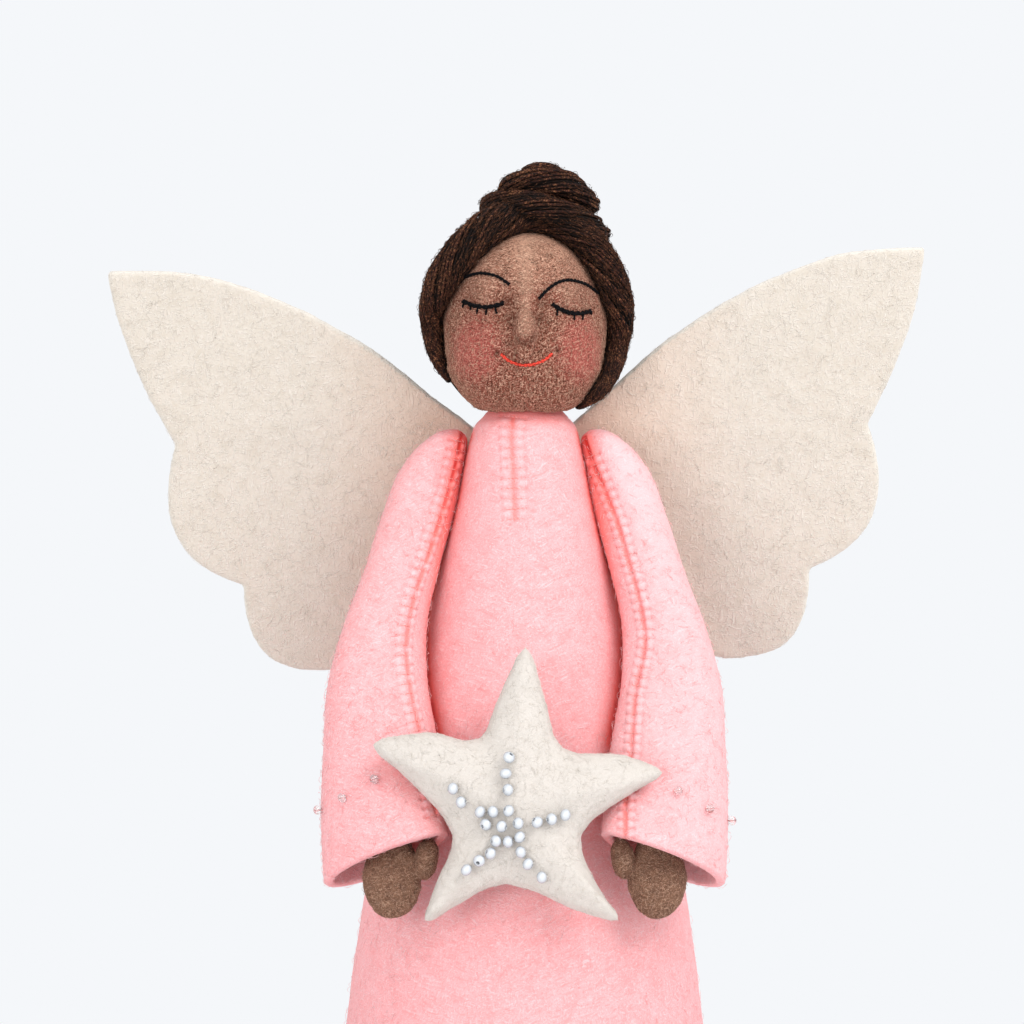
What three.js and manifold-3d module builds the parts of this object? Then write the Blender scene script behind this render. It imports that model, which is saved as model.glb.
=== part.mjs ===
// Felt angel that stands on the top of a Christmas tree.
// Millimetres, +Z up, the face looks along -Y. The origin is the centre of the hem, on the
// surface that the skirt stands on.

import * as THREE from 'three';
import { mergeVertices } from 'three/addons/utils/BufferGeometryUtils.js';
import Module from 'manifold-3d';

const wasm = await Module();
wasm.setup();

// Fits shared by all pieces
const sewnGap = 0.3;
const overrun = 20;
const mergeDistance = 1e-4;

// Dress: a hollow felt cone with a rounded top, open at the hem and at the neck
const dressHeight = 206;
const hemRadius = 52.6;
const feltThickness = 3;
const dressSides = 48;
const dressOutlineShares = [
  [1, 0], [0.916, 0.19], [0.85, 0.325], [0.78, 0.417], [0.608, 0.617],
  [0.515, 0.714], [0.43, 0.801], [0.352, 0.879], [0.273, 0.966],
  [0.22, 0.9864], [0.169, 1],
];

// Card cone inside the dress, which takes the tip of the tree
const cardThickness = 1;
const cardHemInset = 6;
const cardTopInset = 36;

// Wool plug in the top of the dress, and the neck that is pushed into it
const plugTopInset = 6.5;
const neckLength = 12;

// Head: a felted ball, with a nose
const headHalfWidth = 22.4;
const headHalfHeight = 24.5;
const headSides = 28;
const headRows = 18;
const noseHalfWidth = 2.7;
const noseHalfLength = 6;
const noseDepth = 2.9;
const noseDrop = 3.6;

// Hair: yarn laid from the parting over the head
const hairSideThickness = 5.8;
const hairFrontThickness = 4.6;
const hairTopThickness = 5.3;
const hairShift = 1;
const hairLift = 2.4;
const hairSplitDepth = 3;
const partingShift = 4.3;
const faceSideInset = 0.2;
const faceTopInset = 0.9;
const faceCutDepth = 2;
const napeDrop = 20.5;
const leftLockDrop = 16.6;
const rightLockDrop = 22.6;
const collarClearRadius = 12.6;
const hairlineShares = [
  [-0.905, -0.7], [-0.99, -0.33], [-0.995, -0.1], [-0.955, 0.145], [-0.75, 0.44], [-0.545, 0.705],
  [-0.266, 0.93], [0, 0.995], [0.194, 1], [0.468, 0.86], [0.71, 0.645], [0.89, 0.32],
  [0.986, 0.1], [1, -0.215], [0.94, -0.5], [0.784, -0.81], [0.6, -1.01],
];

// Bun: a yarn rope wound upwards over a wool core, tipped to one side
const bunShift = 5;
const bunSetBack = 7;
const bunTilt = 6;
const bunLift = 2.1;
const bunCoilRadius = 14.3;
const bunCoilRise = 14.6;
const bunTurns = 2.5;
const bunSweep = 70;
const ropeRadius = 3.25;
const ropeSides = 8;
const stepsPerTurn = 24;
const bunStart = 60;
const bunCoreRows = 4;

// Arms: the sleeves, hands and star are one set, sewn on at the shoulders
const armsShift = -0.2;
const shoulderInset = 6.4;
const sleeveLength = 113;
const cuffHalfWidth = 18.7;
const sleeveHalfDepth = 12.5;
const cuffTurn = 24;
const cuffRise = 24;
const cuffPitch = 10;
const sleeveWall = 2.6;
const sleeveSides = 24;
const seamPinchShare = 0.16;
// Height between cuff and shoulder, bearing from the front as a share of a right angle,
// standoff from the dress, half width, half depth, turn, slant
const sleeveStationShares = [
  [0.985, 1, 0.5244, 0.2, 0.36, 0, 0],
  [0.95, 0.9917, 0.5516, 0.33, 0.57, 0, 0],
  [0.887, 0.9629, 0.6926, 0.42, 0.72, 0.125, 0],
  [0.789, 0.9101, 0.7858, 0.49, 0.81, 0.33, 0],
  [0.672, 0.8167, 0.9083, 0.5, 0.84, 0.5, 0],
  [0.547, 0.7586, 1.0664, 0.56, 0.9, 0.66, 0.02],
  [0.403, 0.6777, 1.126, 0.69, 0.97, 0.83, 0.05],
  [0.269, 0.5942, 1.057, 0.81, 1, 0.92, 0.12],
  [0.155, 0.5225, 1.1095, 0.9, 1, 1, 0.35],
  [0, 0.4525, 1.1425, 1, 0.96, 1, 1],
];

// Hands: felted mittens on a forearm, with a wire from the forearm to the shoulder
const handInset = 1.4;
const handForward = 1.8;
const handDrop = 4.6;
const palmHalfWidth = 7.9;
const palmHalfDepth = 4.7;
const palmHalfLength = 10.8;
const palmSweep = 130;
const palmRows = 7;
const forearmRadius = 4.6;
const forearmLength = 27;
const thumbRadius = 3.3;
const thumbHalfLength = 5.7;
const thumbSpread = 9;
const thumbLift = 4.6;
const thumbForward = 3;
const thumbTilt = 8;
const handPitch = 18;
const handSides = 16;
const armWireRadius = 1.5;
const armWireSides = 6;
const armWireSteps = 12;
const armWireInset = 0.6;

// Star: felted wool, thick in the middle and thin at its five tips
const starReach = 42.5;
const starHalfThickness = 7.5;
const starShift = -2.35;
const starLift = 14.4;
const starAheadShare = 0.2235;
const starLean = 6;
const starTurn = -0.6;
const starPoints = 60;
const starRowShares = [0.3, 0.55, 0.78, 0.93];
const starOutlineShares = [
  [-0.11, 0.67], [0.061, 1], [0.188, 0.647], [0.28, 0.37],
  [0.66, 0.325], [0.908, 0.214], [0.67, 0.06], [0.4, -0.172],
  [0.506, -0.487], [0.633, -0.69], [0.341, -0.616], [-0.066, -0.468],
  [-0.334, -0.579], [-0.555, -0.7], [-0.482, -0.452], [-0.39, -0.172],
  [-0.633, 0.146], [-0.885, 0.39], [-0.536, 0.464], [-0.226, 0.426],
];

// Seed beads on the star, and round each sleeve above the cuff
const starBeadRadius = 1.5;
const cuffBeadRadius = 1.15;
const beadHoleShare = 0.3;
const beadWaistShare = 0.9;
const beadShoulderShare = 0.62;
const beadSides = 8;
const cuffBeads = 5;
const cuffBeadStart = 99;
const cuffBeadStep = 36;
const leftCuffBeadLift = 20;
const rightCuffBeadLift = 17.3;
const starBeadShares = [
  [-0.03, 0.293], [-0.049, 0.195], [-0.043, 0.098],
  [-0.128, -0.03], [-0.037, -0.03], [-0.168, -0.116], [-0.085, -0.119], [0.018, -0.101],
  [-0.124, -0.201], [-0.046, -0.207], [0.03, -0.179],
  [-0.372, 0.116], [-0.317, 0.037], [-0.207, -0.03],
  [0.128, -0.098], [0.213, -0.073], [0.293, -0.037],
  [-0.155, -0.276], [-0.226, -0.32], [-0.299, -0.378],
  [0.034, -0.27], [0.082, -0.335], [0.165, -0.415],
];

// Wings: thick felt, scalloped below, each sewn along its inner edge to the back of the dress
const wingReach = 110.8;
const wingRise = 78.3;
const wingDrop = 35.7;
const wingThickness = 3.2;
const wingRootInset = 36;
const wingRootTopShare = 0.29;
const wingRootGap = 2.8;
const wingLean = 13.7;
const wingCant = 1.8;
const wingCurveSteps = 14;
// Outline points across the reach, and up the rise where positive or down the drop where negative
const wingTopShares = [[0.187, 0.51], [0.35, 0.7], [0.57, 0.876], [0.79, 0.98], [1, 0.996]];
const wingTipShares = [[0.985, 0.72], [0.85, 0.377]];
const wingLobeShares = [
  [[0.9, 0.18], [0.9, -0.1], [0.694, -0.297]],
  [[0.7, -0.8], [0.64, -1], [0.5, -1]],
  [[0.36, -1], [0.2, -0.5], [0, -0.3]],
];
const wingRootFootShares = wingLobeShares.at(-1).at(-1);

const toRadians = THREE.MathUtils.degToRad;

const feltPink = new THREE.MeshStandardMaterial({ color: 0xf7b0b2, roughness: 0.95, metalness: 0 });
const card = new THREE.MeshStandardMaterial({ color: 0xc9b08a, roughness: 0.9, metalness: 0 });
const stuffingWool = new THREE.MeshStandardMaterial({ color: 0xece6da, roughness: 1, metalness: 0 });
const skinWool = new THREE.MeshStandardMaterial({ color: 0x85604f, roughness: 0.95, metalness: 0 });
const hairYarn = new THREE.MeshStandardMaterial({ color: 0x3e2619, roughness: 0.95, metalness: 0 });
const whiteWool = new THREE.MeshStandardMaterial({ color: 0xede8de, roughness: 0.95, metalness: 0 });
const creamFelt = new THREE.MeshStandardMaterial({ color: 0xf0e6d8, roughness: 0.95, metalness: 0 });
const pearlGlass = new THREE.MeshStandardMaterial({ color: 0xf4f6f8, roughness: 0.2, metalness: 0 });
const clearGlass = new THREE.MeshStandardMaterial({ color: 0xf3e6e6, roughness: 0.05, metalness: 0 });
const chenilleWire = new THREE.MeshStandardMaterial({ color: 0x6a5040, roughness: 0.8, metalness: 0.2 });

const fullTurn = 2 * Math.PI;

// Closed geometry from vertices and triangles, turned so that its faces point out
function closedGeometry(vertices, triangles) {
  let volume = 0;
  for (const [a, b, c] of triangles) {
    volume += vertices[a].dot(new THREE.Vector3().crossVectors(vertices[b], vertices[c]));
  }
  const indices = triangles.flatMap(([a, b, c]) => (volume > 0 ? [a, b, c] : [a, c, b]));
  const geometry = new THREE.BufferGeometry();
  const numbers = vertices.flatMap((vertex) => vertex.toArray());
  geometry.setAttribute('position', new THREE.Float32BufferAttribute(numbers, 3));
  geometry.setIndex(indices);
  return geometry;
}

// Skin over a row of rings of points. A ring of one point is a pole that closes that end.
function loft(rings) {
  const vertices = rings.flat();
  const starts = [];
  let count = 0;
  for (const ring of rings) {
    starts.push(count);
    count += ring.length;
  }
  const triangles = [];
  for (let k = 0; k + 1 < rings.length; k += 1) {
    const sides = Math.max(rings[k].length, rings[k + 1].length);
    const at = (ring, i) => starts[ring] + (rings[ring].length === 1 ? 0 : i % sides);
    for (let i = 0; i < sides; i += 1) {
      if (rings[k + 1].length > 1) {
        triangles.push([at(k, i), at(k + 1, i + 1), at(k + 1, i)]);
      }
      if (rings[k].length > 1) {
        triangles.push([at(k, i), at(k, i + 1), at(k + 1, i + 1)]);
      }
    }
  }
  return closedGeometry(vertices, triangles);
}

// Solid of revolution about Z from [radius, height] points
function turned(outline, sides) {
  const points = outline.map(([radius, height]) => new THREE.Vector2(radius, height));
  return new THREE.LatheGeometry(points, sides).rotateX(Math.PI / 2);
}

function toSolid(geometry) {
  const bare = geometry.clone();
  bare.deleteAttribute('normal');
  bare.deleteAttribute('uv');
  const merged = mergeVertices(bare, mergeDistance);
  const kept = [];
  const index = merged.index.array;
  for (let i = 0; i < index.length; i += 3) {
    const corners = [index[i], index[i + 1], index[i + 2]];
    if (new Set(corners).size === 3) {
      kept.push(...corners);
    }
  }
  return new wasm.Manifold(new wasm.Mesh({
    numProp: 3,
    vertProperties: new Float32Array(merged.attributes.position.array),
    triVerts: new Uint32Array(kept),
  }));
}

function toGeometry(solid) {
  const mesh = solid.getMesh();
  const geometry = new THREE.BufferGeometry();
  geometry.setAttribute('position', new THREE.BufferAttribute(mesh.vertProperties, 3));
  geometry.setIndex(new THREE.BufferAttribute(mesh.triVerts, 1));
  return geometry;
}

function piece(name, geometry, material) {
  const mesh = new THREE.Mesh(geometry, material);
  mesh.name = name;
  return mesh;
}

// The outline moved inwards, square to itself, by one distance
function insetOutline(outline, distance) {
  return outline.map(([radius, height], k) => {
    const [r0, z0] = outline[Math.max(k - 1, 0)];
    const [r1, z1] = outline[Math.min(k + 1, outline.length - 1)];
    const run = Math.hypot(r1 - r0, z1 - z0);
    return [radius - ((z1 - z0) / run) * distance, height + ((r1 - r0) / run) * distance];
  });
}

// Radius of an outline at a height. Past its ends the first or last stretch carries on.
function radiusAt(outline, height) {
  const found = outline.findIndex((point, k) => k > 0 && point[1] >= height);
  const next = found > 0 ? found : outline.length - 1;
  const [r0, z0] = outline[next - 1];
  const [r1, z1] = outline[next];
  return r0 + ((height - z0) / (z1 - z0)) * (r1 - r0);
}

// The part of an outline between two heights, cut straight across at both
function outlineBetween(outline, low, high) {
  const inside = outline.filter((point) => point[1] > low && point[1] < high);
  return [[radiusAt(outline, low), low], ...inside, [radiusAt(outline, high), high]];
}

const dressOutline = dressOutlineShares.map(([r, z]) => [r * hemRadius, z * dressHeight]);

function dressInside(depth) {
  const inside = insetOutline(dressOutline, depth);
  inside[0] = [hemRadius - depth, 0];
  return inside;
}

const cardTop = dressHeight - cardTopInset;
const shoulderHeight = dressHeight - shoulderInset;
const cuffHeight = shoulderHeight - sleeveLength;
const wingRootHeight = dressHeight - wingRootInset;
const neckHole = dressInside(feltThickness).at(-1);
const neckRadius = neckHole[0] - sewnGap;

function dressShell() {
  const inside = dressInside(feltThickness).reverse();
  return turned([...dressOutline, ...inside, dressOutline[0]], dressSides);
}

function coneLiner() {
  const inside = dressInside(feltThickness + sewnGap);
  const outer = outlineBetween(inside, cardHemInset, cardTop);
  const inner = outer.map(([radius, height]) => [radius - cardThickness, height]).reverse();
  return turned([...outer, ...inner, outer[0]], dressSides);
}

const plugTop = dressHeight - plugTopInset;
const neckFoot = dressHeight - neckLength;

function neckStuffing() {
  const foot = cardTop + sewnGap;
  const side = outlineBetween(dressInside(feltThickness + sewnGap), foot, plugTop);
  const socketRadius = neckRadius + sewnGap;
  const socketFoot = neckFoot - sewnGap;
  const socket = [[socketRadius, plugTop], [socketRadius, socketFoot], [0, socketFoot]];
  return turned([[0, foot], ...side, ...socket], dressSides);
}

// The ball rests on the rim of the neck hole
const rimRadius = dressOutline.at(-1)[0];
const headCentre = dressHeight + sewnGap + headHalfHeight * Math.sqrt(1 - (rimRadius / headHalfWidth) ** 2);
const hairHalfWidth = headHalfWidth + hairSideThickness;
const hairHalfDepth = headHalfWidth + hairFrontThickness;
const hairHalfHeight = headHalfHeight + hairTopThickness;
const bunBaseHeight = headCentre + headHalfHeight + bunLift;

function ellipsoid(halfWidth, halfDepth, halfHeight, sides, rows) {
  const ball = new THREE.SphereGeometry(1, sides, rows).rotateX(Math.PI / 2);
  return ball.scale(halfWidth, halfDepth, halfHeight);
}

function headSolid() {
  const start = -Math.acos(neckRadius / headHalfWidth);
  const ball = [];
  for (let k = 0; k <= headRows; k += 1) {
    const angle = start + (k / headRows) * (Math.PI / 2 - start);
    const radius = k === headRows ? 0 : headHalfWidth * Math.cos(angle);
    ball.push([radius, headCentre + headHalfHeight * Math.sin(angle)]);
  }
  const ballAndNeck = toSolid(turned([[0, neckFoot], [neckRadius, neckFoot], ...ball], headSides));
  const nose = ellipsoid(noseHalfWidth, noseDepth, noseHalfLength, headSides / 2, headRows / 2);
  nose.translate(0, -headHalfWidth, headCentre - noseDrop);
  return ballAndNeck.add(toSolid(nose));
}

// What the hair keeps clear of: the ball of the head, the face and the bun
function headSpace() {
  const width = headHalfWidth + sewnGap;
  const height = headHalfHeight + sewnGap;
  return toSolid(ellipsoid(width, width, height, headSides, headRows).translate(0, 0, headCentre));
}

function faceSpace() {
  const halfWidth = headHalfWidth - faceSideInset;
  const top = headHalfHeight - faceTopInset;
  const points = hairlineShares.map(([x, z]) => new THREE.Vector2(x * halfWidth, z * top));
  const [first, last] = [points[0], points.at(-1)];
  const foot = -headHalfHeight - overrun;
  const feet = [new THREE.Vector2(last.x, foot), new THREE.Vector2(first.x, foot)];
  const shape = new THREE.Shape([...points, ...feet]);
  const cutter = new THREE.ExtrudeGeometry(shape, { depth: hairHalfDepth + overrun, bevelEnabled: false });
  return toSolid(cutter.rotateX(Math.PI / 2).translate(0, -faceCutDepth, headCentre));
}

// Moves a shape from the bun's own upright frame to its tipped place on the crown
function placeOnCrown(geometry) {
  return geometry.rotateY(toRadians(bunTilt)).translate(bunShift, bunSetBack, bunBaseHeight);
}

function bunSpace() {
  const reach = bunCoilRadius + ropeRadius + sewnGap;
  const foot = -ropeRadius - sewnGap;
  const outline = [[0, foot], [bunCoilRadius, foot], [reach, foot / 2], [reach, ropeRadius],
    [reach, bunCoilRise + overrun], [0, bunCoilRise + overrun]];
  return toSolid(placeOnCrown(turned(outline, headSides)));
}

function block(x0, x1, y0, y1, z0, z1) {
  const box = new THREE.BoxGeometry(x1 - x0, y1 - y0, z1 - z0);
  return toSolid(box.translate((x0 + x1) / 2, (y0 + y1) / 2, (z0 + z1) / 2));
}

function hairSolids() {
  const outside = ellipsoid(hairHalfWidth, hairHalfDepth, hairHalfHeight, headSides, headRows);
  const side = hairHalfWidth + overrun;
  const crown = headCentre + hairHalfHeight + overrun;
  const nape = headCentre - napeDrop;
  const leftEnd = headCentre - leftLockDrop;
  const rightEnd = headCentre - rightLockDrop;
  const collarOutline = [[0, 0], [collarClearRadius, 0], [collarClearRadius, nape], [0, nape]];
  const collar = toSolid(turned(collarOutline, headSides));
  const whole = toSolid(outside.translate(hairShift, 0, headCentre + hairLift))
    .subtract(headSpace()).subtract(faceSpace()).subtract(bunSpace()).subtract(collar);
  const back = block(-side, side, hairSplitDepth + sewnGap, side, nape, crown);
  const left = block(-side, partingShift, -side, hairSplitDepth, leftEnd, crown);
  const right = block(partingShift + sewnGap, side, -side, hairSplitDepth, rightEnd, crown);
  return {
    hair_back: whole.intersect(back),
    hair_left: whole.intersect(left),
    hair_right: whole.intersect(right),
  };
}

// Middle line of the bun's rope: round, clockwise from above, and up over a dome
function ropePoint(turn) {
  const climb = toRadians(bunSweep) * (turn / bunTurns);
  const angle = toRadians(bunStart) - turn * fullTurn;
  const outwards = new THREE.Vector3(Math.cos(angle), Math.sin(angle), 0);
  const centre = outwards.clone().multiplyScalar(bunCoilRadius * Math.cos(climb));
  return { outwards, centre: centre.setZ(bunCoilRise * Math.sin(climb)) };
}

function bunCoil() {
  const steps = Math.round(bunTurns * stepsPerTurn);
  const rings = [];
  for (let k = 0; k <= steps; k += 1) {
    const { outwards, centre } = ropePoint(k / stepsPerTurn);
    const upwards = new THREE.Vector3(0, 0, 1);
    const ring = [];
    for (let i = 0; i < ropeSides; i += 1) {
      const turn = (i / ropeSides) * fullTurn;
      ring.push(centre.clone().addScaledVector(outwards, ropeRadius * Math.cos(turn))
        .addScaledVector(upwards, ropeRadius * Math.sin(turn)));
    }
    if (k === 0) {
      rings.push([centre]);
    }
    rings.push(ring);
    if (k === steps) {
      rings.push([centre]);
    }
  }
  return placeOnCrown(loft(rings));
}

// Least gap between two turns of the rope, on points of its middle line
function leastRopeGap() {
  const steps = Math.round(bunTurns * stepsPerTurn);
  let least = Infinity;
  for (let i = 0; i <= steps; i += 1) {
    for (let k = i + stepsPerTurn / 2; k <= steps; k += 1) {
      const here = ropePoint(i / stepsPerTurn).centre;
      const apart = here.distanceTo(ropePoint(k / stepsPerTurn).centre);
      least = Math.min(least, apart - 2 * ropeRadius);
    }
  }
  return least;
}

function bunCore() {
  const clear = ropeRadius + sewnGap;
  const outline = [[0, -ropeRadius], [bunCoilRadius - clear, -ropeRadius]];
  const narrowest = bunCoilRadius * Math.cos(toRadians(bunSweep)) - clear;
  for (let k = 0; k <= bunCoreRows; k += 1) {
    const share = k / bunCoreRows;
    const climb = toRadians(bunSweep) * share;
    const inner = (bunCoilRadius - clear) * Math.cos(climb) - clear * share;
    outline.push([Math.max(narrowest, inner), bunCoilRise * Math.sin(climb) - (clear / 2) * share]);
  }
  outline.push([0, outline.at(-1)[1]]);
  return toSolid(placeOnCrown(turned(outline, headSides))).subtract(headSpace());
}

// Sleeve: stations from the shoulder to the cuff, as shares of the named sizes
function sleeveStation(shares, side) {
  const [height, bearing, standoff, width, depth, turn, slant] = shares;
  const yaw = toRadians(cuffTurn * turn);
  const rise = toRadians(cuffRise * slant);
  const pitch = toRadians(cuffPitch * slant);
  const level = cuffHeight + height * sleeveLength;
  const away = radiusAt(dressOutline, level) + standoff * sleeveHalfDepth;
  const spread = away * Math.sin((bearing * Math.PI) / 2);
  const reach = away * Math.cos((bearing * Math.PI) / 2);
  const inwards = new THREE.Vector3(-side * Math.cos(yaw), -Math.sin(yaw), 0);
  const forwards = new THREE.Vector3(side * Math.sin(yaw), -Math.cos(yaw), 0);
  return {
    centre: new THREE.Vector3(side * spread, -reach, level),
    inwards: inwards.multiplyScalar(Math.cos(rise)).setZ(Math.sin(rise)),
    forwards: forwards.multiplyScalar(Math.cos(pitch)).setZ(Math.sin(pitch)),
    halfWidth: width * cuffHalfWidth,
    halfDepth: depth * sleeveHalfDepth,
  };
}

// A point of a sleeve ring. Angle 0 is the inner edge, where the seam pinches the felt.
function sleevePoint(station, angle, inset) {
  const { centre, inwards, forwards, halfWidth, halfDepth } = station;
  const across = (halfWidth - inset) * Math.cos(angle);
  const through = (halfDepth - inset) * Math.sin(angle) * (1 - seamPinchShare * Math.cos(angle));
  return centre.clone().addScaledVector(inwards, across).addScaledVector(forwards, through);
}

function sleeveRing(station, inset) {
  const angles = Array.from({ length: sleeveSides }, (_, i) => (i / sleeveSides) * fullTurn);
  return angles.map((angle) => sleevePoint(station, angle, inset));
}

function sleeveStations(side) {
  return sleeveStationShares.map((shares) => sleeveStation(shares, side));
}

// Point that closes a sleeve over its first station
function shoulderPole(station, height) {
  return [station.centre.clone().setZ(height)];
}

function sleeve(side) {
  const stations = sleeveStations(side);
  const hollow = stations.slice(1).reverse();
  const outer = stations.map((station) => sleeveRing(station, 0));
  const inner = hollow.map((station) => sleeveRing(station, sleeveWall));
  const [first, second] = stations;
  const innerTop = shoulderPole(first, second.centre.z + sewnGap);
  return loft([shoulderPole(first, shoulderHeight), ...outer, ...inner, innerTop]);
}

function hand(side) {
  const rings = [[new THREE.Vector3(0, 0, -palmHalfLength)]];
  for (let k = 1; k < palmRows; k += 1) {
    const climb = toRadians(palmSweep) * (k / palmRows) - Math.PI / 2;
    const height = palmHalfLength * Math.sin(climb);
    rings.push(ovalRing(palmHalfWidth * Math.cos(climb), palmHalfDepth * Math.cos(climb), height));
  }
  rings.push(ovalRing(forearmRadius, palmHalfDepth, palmHalfLength));
  rings.push(ovalRing(forearmRadius, palmHalfDepth, forearmLength));
  rings.push([new THREE.Vector3(0, 0, forearmLength)]);
  const thumb = ellipsoid(thumbRadius, thumbRadius, thumbHalfLength, handSides / 2, palmRows + 1);
  thumb.rotateY(-side * toRadians(thumbTilt)).translate(-side * thumbSpread, -thumbForward, thumbLift);
  return toSolid(loft(rings)).add(toSolid(thumb));
}

function ovalRing(halfWidth, halfDepth, height) {
  return Array.from({ length: handSides }, (_, i) => {
    const angle = (i / handSides) * fullTurn;
    return new THREE.Vector3(halfWidth * Math.cos(angle), halfDepth * Math.sin(angle), height);
  });
}

// Middle of the palm, in the mouth of the cuff
function palmPlace(side) {
  const cuff = sleeveStations(side).at(-1).centre;
  return cuff.add(new THREE.Vector3(-side * handInset, -handForward, -handDrop));
}

function armWire(side) {
  const [, shoulder, , upperArm, , elbow] = sleeveStations(side).map((station) => station.centre);
  const along = new THREE.Vector3(0, Math.sin(toRadians(handPitch)), Math.cos(toRadians(handPitch)));
  const wrist = palmPlace(side).addScaledVector(along, forearmLength + sewnGap);
  shoulder.setZ(shoulder.z - armWireInset);
  const lift = wrist.clone().addScaledVector(along, 2 * armWireRadius);
  const route = new THREE.CatmullRomCurve3([wrist, lift, elbow, upperArm, shoulder]);
  const corners = [];
  for (let i = 0; i < armWireSides; i += 1) {
    const angle = (i / armWireSides) * fullTurn;
    corners.push(new THREE.Vector2(Math.cos(angle), Math.sin(angle)).multiplyScalar(armWireRadius));
  }
  const sweep = { steps: armWireSteps, extrudePath: route, bevelEnabled: false };
  return new THREE.ExtrudeGeometry(new THREE.Shape(corners), sweep);
}

// Star: rays from the middle to the outline, the front and back swelling between them
function starSurface() {
  const corners = starOutlineShares.map(([x, z]) => new THREE.Vector3(x * starReach, 0, z * starReach));
  const outline = new THREE.CatmullRomCurve3(corners, true).getPoints(starPoints).slice(1);
  const ringAt = (share, face) => outline.map((point) => {
    const swell = face * starHalfThickness * Math.sqrt(1 - share ** 2);
    return new THREE.Vector3(point.x * share, swell, point.z * share);
  });
  const front = starRowShares.map((share) => ringAt(share, -1));
  const back = starRowShares.map((share) => ringAt(share, 1)).reverse();
  const frontMiddle = [new THREE.Vector3(0, -starHalfThickness, 0)];
  const backMiddle = [new THREE.Vector3(0, starHalfThickness, 0)];
  return loft([frontMiddle, ...front, ringAt(1, 0), ...back, backMiddle]);
}

function seedBead(radius) {
  const hole = radius * beadHoleShare;
  const waist = radius * beadWaistShare;
  const shoulder = radius * beadShoulderShare;
  const outline = [[hole, -waist], [shoulder, -waist], [radius, 0], [shoulder, waist], [hole, waist]];
  return turned([...outline, outline[0]], beadSides).rotateY(Math.PI / 2);
}

// Middle of a bead that is sewn on a wool surface, met from outside along one direction
function sewnOn(mesh, outwards, middle, radius) {
  const surface = new THREE.Mesh(mesh.geometry, mesh.material);
  const away = outwards.clone().normalize();
  const eye = middle.clone().addScaledVector(away, hemRadius);
  const needle = new THREE.Raycaster(eye, away.clone().negate());
  const [hit] = needle.intersectObject(surface);
  return hit.point.addScaledVector(hit.face.normal, radius + sewnGap);
}

function wing(side) {
  const shape = new THREE.Shape();
  const across = wingReach - wingRootGap;
  const place = ([x, z]) => new THREE.Vector2(x * across, z * (z > 0 ? wingRise : wingDrop));
  const numbers = (shares) => shares.flatMap((share) => place(share).toArray());
  shape.moveTo(...numbers([wingRootFootShares]));
  shape.lineTo(...numbers([[0, wingRootTopShare]]));
  shape.splineThru(wingTopShares.map(place));
  shape.quadraticCurveTo(...numbers(wingTipShares));
  for (const lobe of wingLobeShares) {
    shape.bezierCurveTo(...numbers(lobe));
  }
  const sweep = { depth: wingThickness, bevelEnabled: false, curveSegments: wingCurveSteps };
  const plate = new THREE.ExtrudeGeometry(shape, sweep);
  plate.translate(0, 0, -wingThickness);
  plate.rotateZ(toRadians(wingCant) * side);
  return side > 0 ? plate : mirrored(plate);
}

// Mirror image across X, with its faces turned to point out again
function mirrored(geometry) {
  const { position } = geometry.clone().scale(-1, 1, 1).attributes;
  const vertices = [];
  for (let i = 0; i < position.count; i += 1) {
    vertices.push(new THREE.Vector3().fromBufferAttribute(position, i));
  }
  const triangles = Array.from({ length: position.count / 3 }, (_, i) => [3 * i, 3 * i + 1, 3 * i + 2]);
  return closedGeometry(vertices, triangles);
}

// The wings' front lies against the back of the dress along their stitches
function wingPlane() {
  const slope = Math.tan(toRadians(wingLean));
  const foot = wingRootHeight + wingRootFootShares[1] * wingDrop;
  const root = outlineBetween(dressOutline, foot, wingRootHeight + wingRootTopShare * wingRise);
  return Math.max(...root.map(([radius, height]) => radius + (height - wingRootHeight) * slope)) + sewnGap;
}

const model = new THREE.Group();

model.add(piece('dress_shell', dressShell(), feltPink));
model.add(piece('cone_liner', coneLiner(), card));
model.add(piece('neck_stuffing', neckStuffing(), stuffingWool));
model.add(piece('head', toGeometry(headSolid()), skinWool));
for (const [name, solid] of Object.entries(hairSolids())) {
  model.add(piece(name, toGeometry(solid), hairYarn));
}
model.add(piece('bun_core', toGeometry(bunCore()), hairYarn));
model.add(piece('bun_coil', bunCoil(), hairYarn));

const arms = new THREE.Group();
arms.position.x = armsShift;
model.add(arms);

for (const [name, side, beadLift] of [['left', -1, leftCuffBeadLift], ['right', 1, rightCuffBeadLift]]) {
  const sleeveMesh = piece(`${name}_sleeve`, sleeve(side), feltPink);
  arms.add(sleeveMesh);
  const mitten = piece(`${name}_hand`, toGeometry(hand(side)), skinWool);
  mitten.position.copy(palmPlace(side));
  mitten.rotation.x = toRadians(-handPitch);
  arms.add(mitten);
  arms.add(piece(`${name}_arm_wire`, armWire(side), chenilleWire));

  const cuff = sleeveStations(side).at(-1);
  for (let k = 0; k < cuffBeads; k += 1) {
    const angle = toRadians(cuffBeadStart + k * cuffBeadStep);
    const rim = sleevePoint(cuff, angle, 0);
    const middle = cuff.centre.clone().setZ(rim.z + beadLift);
    const outside = rim.clone().setZ(middle.z);
    const bead = piece(`${name}_cuff_bead_${k + 1}`, seedBead(cuffBeadRadius), clearGlass);
    bead.position.copy(sewnOn(sleeveMesh, outside.sub(middle), middle, cuffBeadRadius));
    bead.rotation.z = -side * toRadians(cuffTurn);
    arms.add(bead);
  }

  const wingHinge = new THREE.Group();
  wingHinge.position.set(side * wingRootGap, wingPlane(), wingRootHeight);
  wingHinge.rotation.x = Math.PI / 2 + toRadians(wingLean);
  wingHinge.add(piece(`${name}_wing`, wing(side), creamFelt));
  model.add(wingHinge);
}

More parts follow.
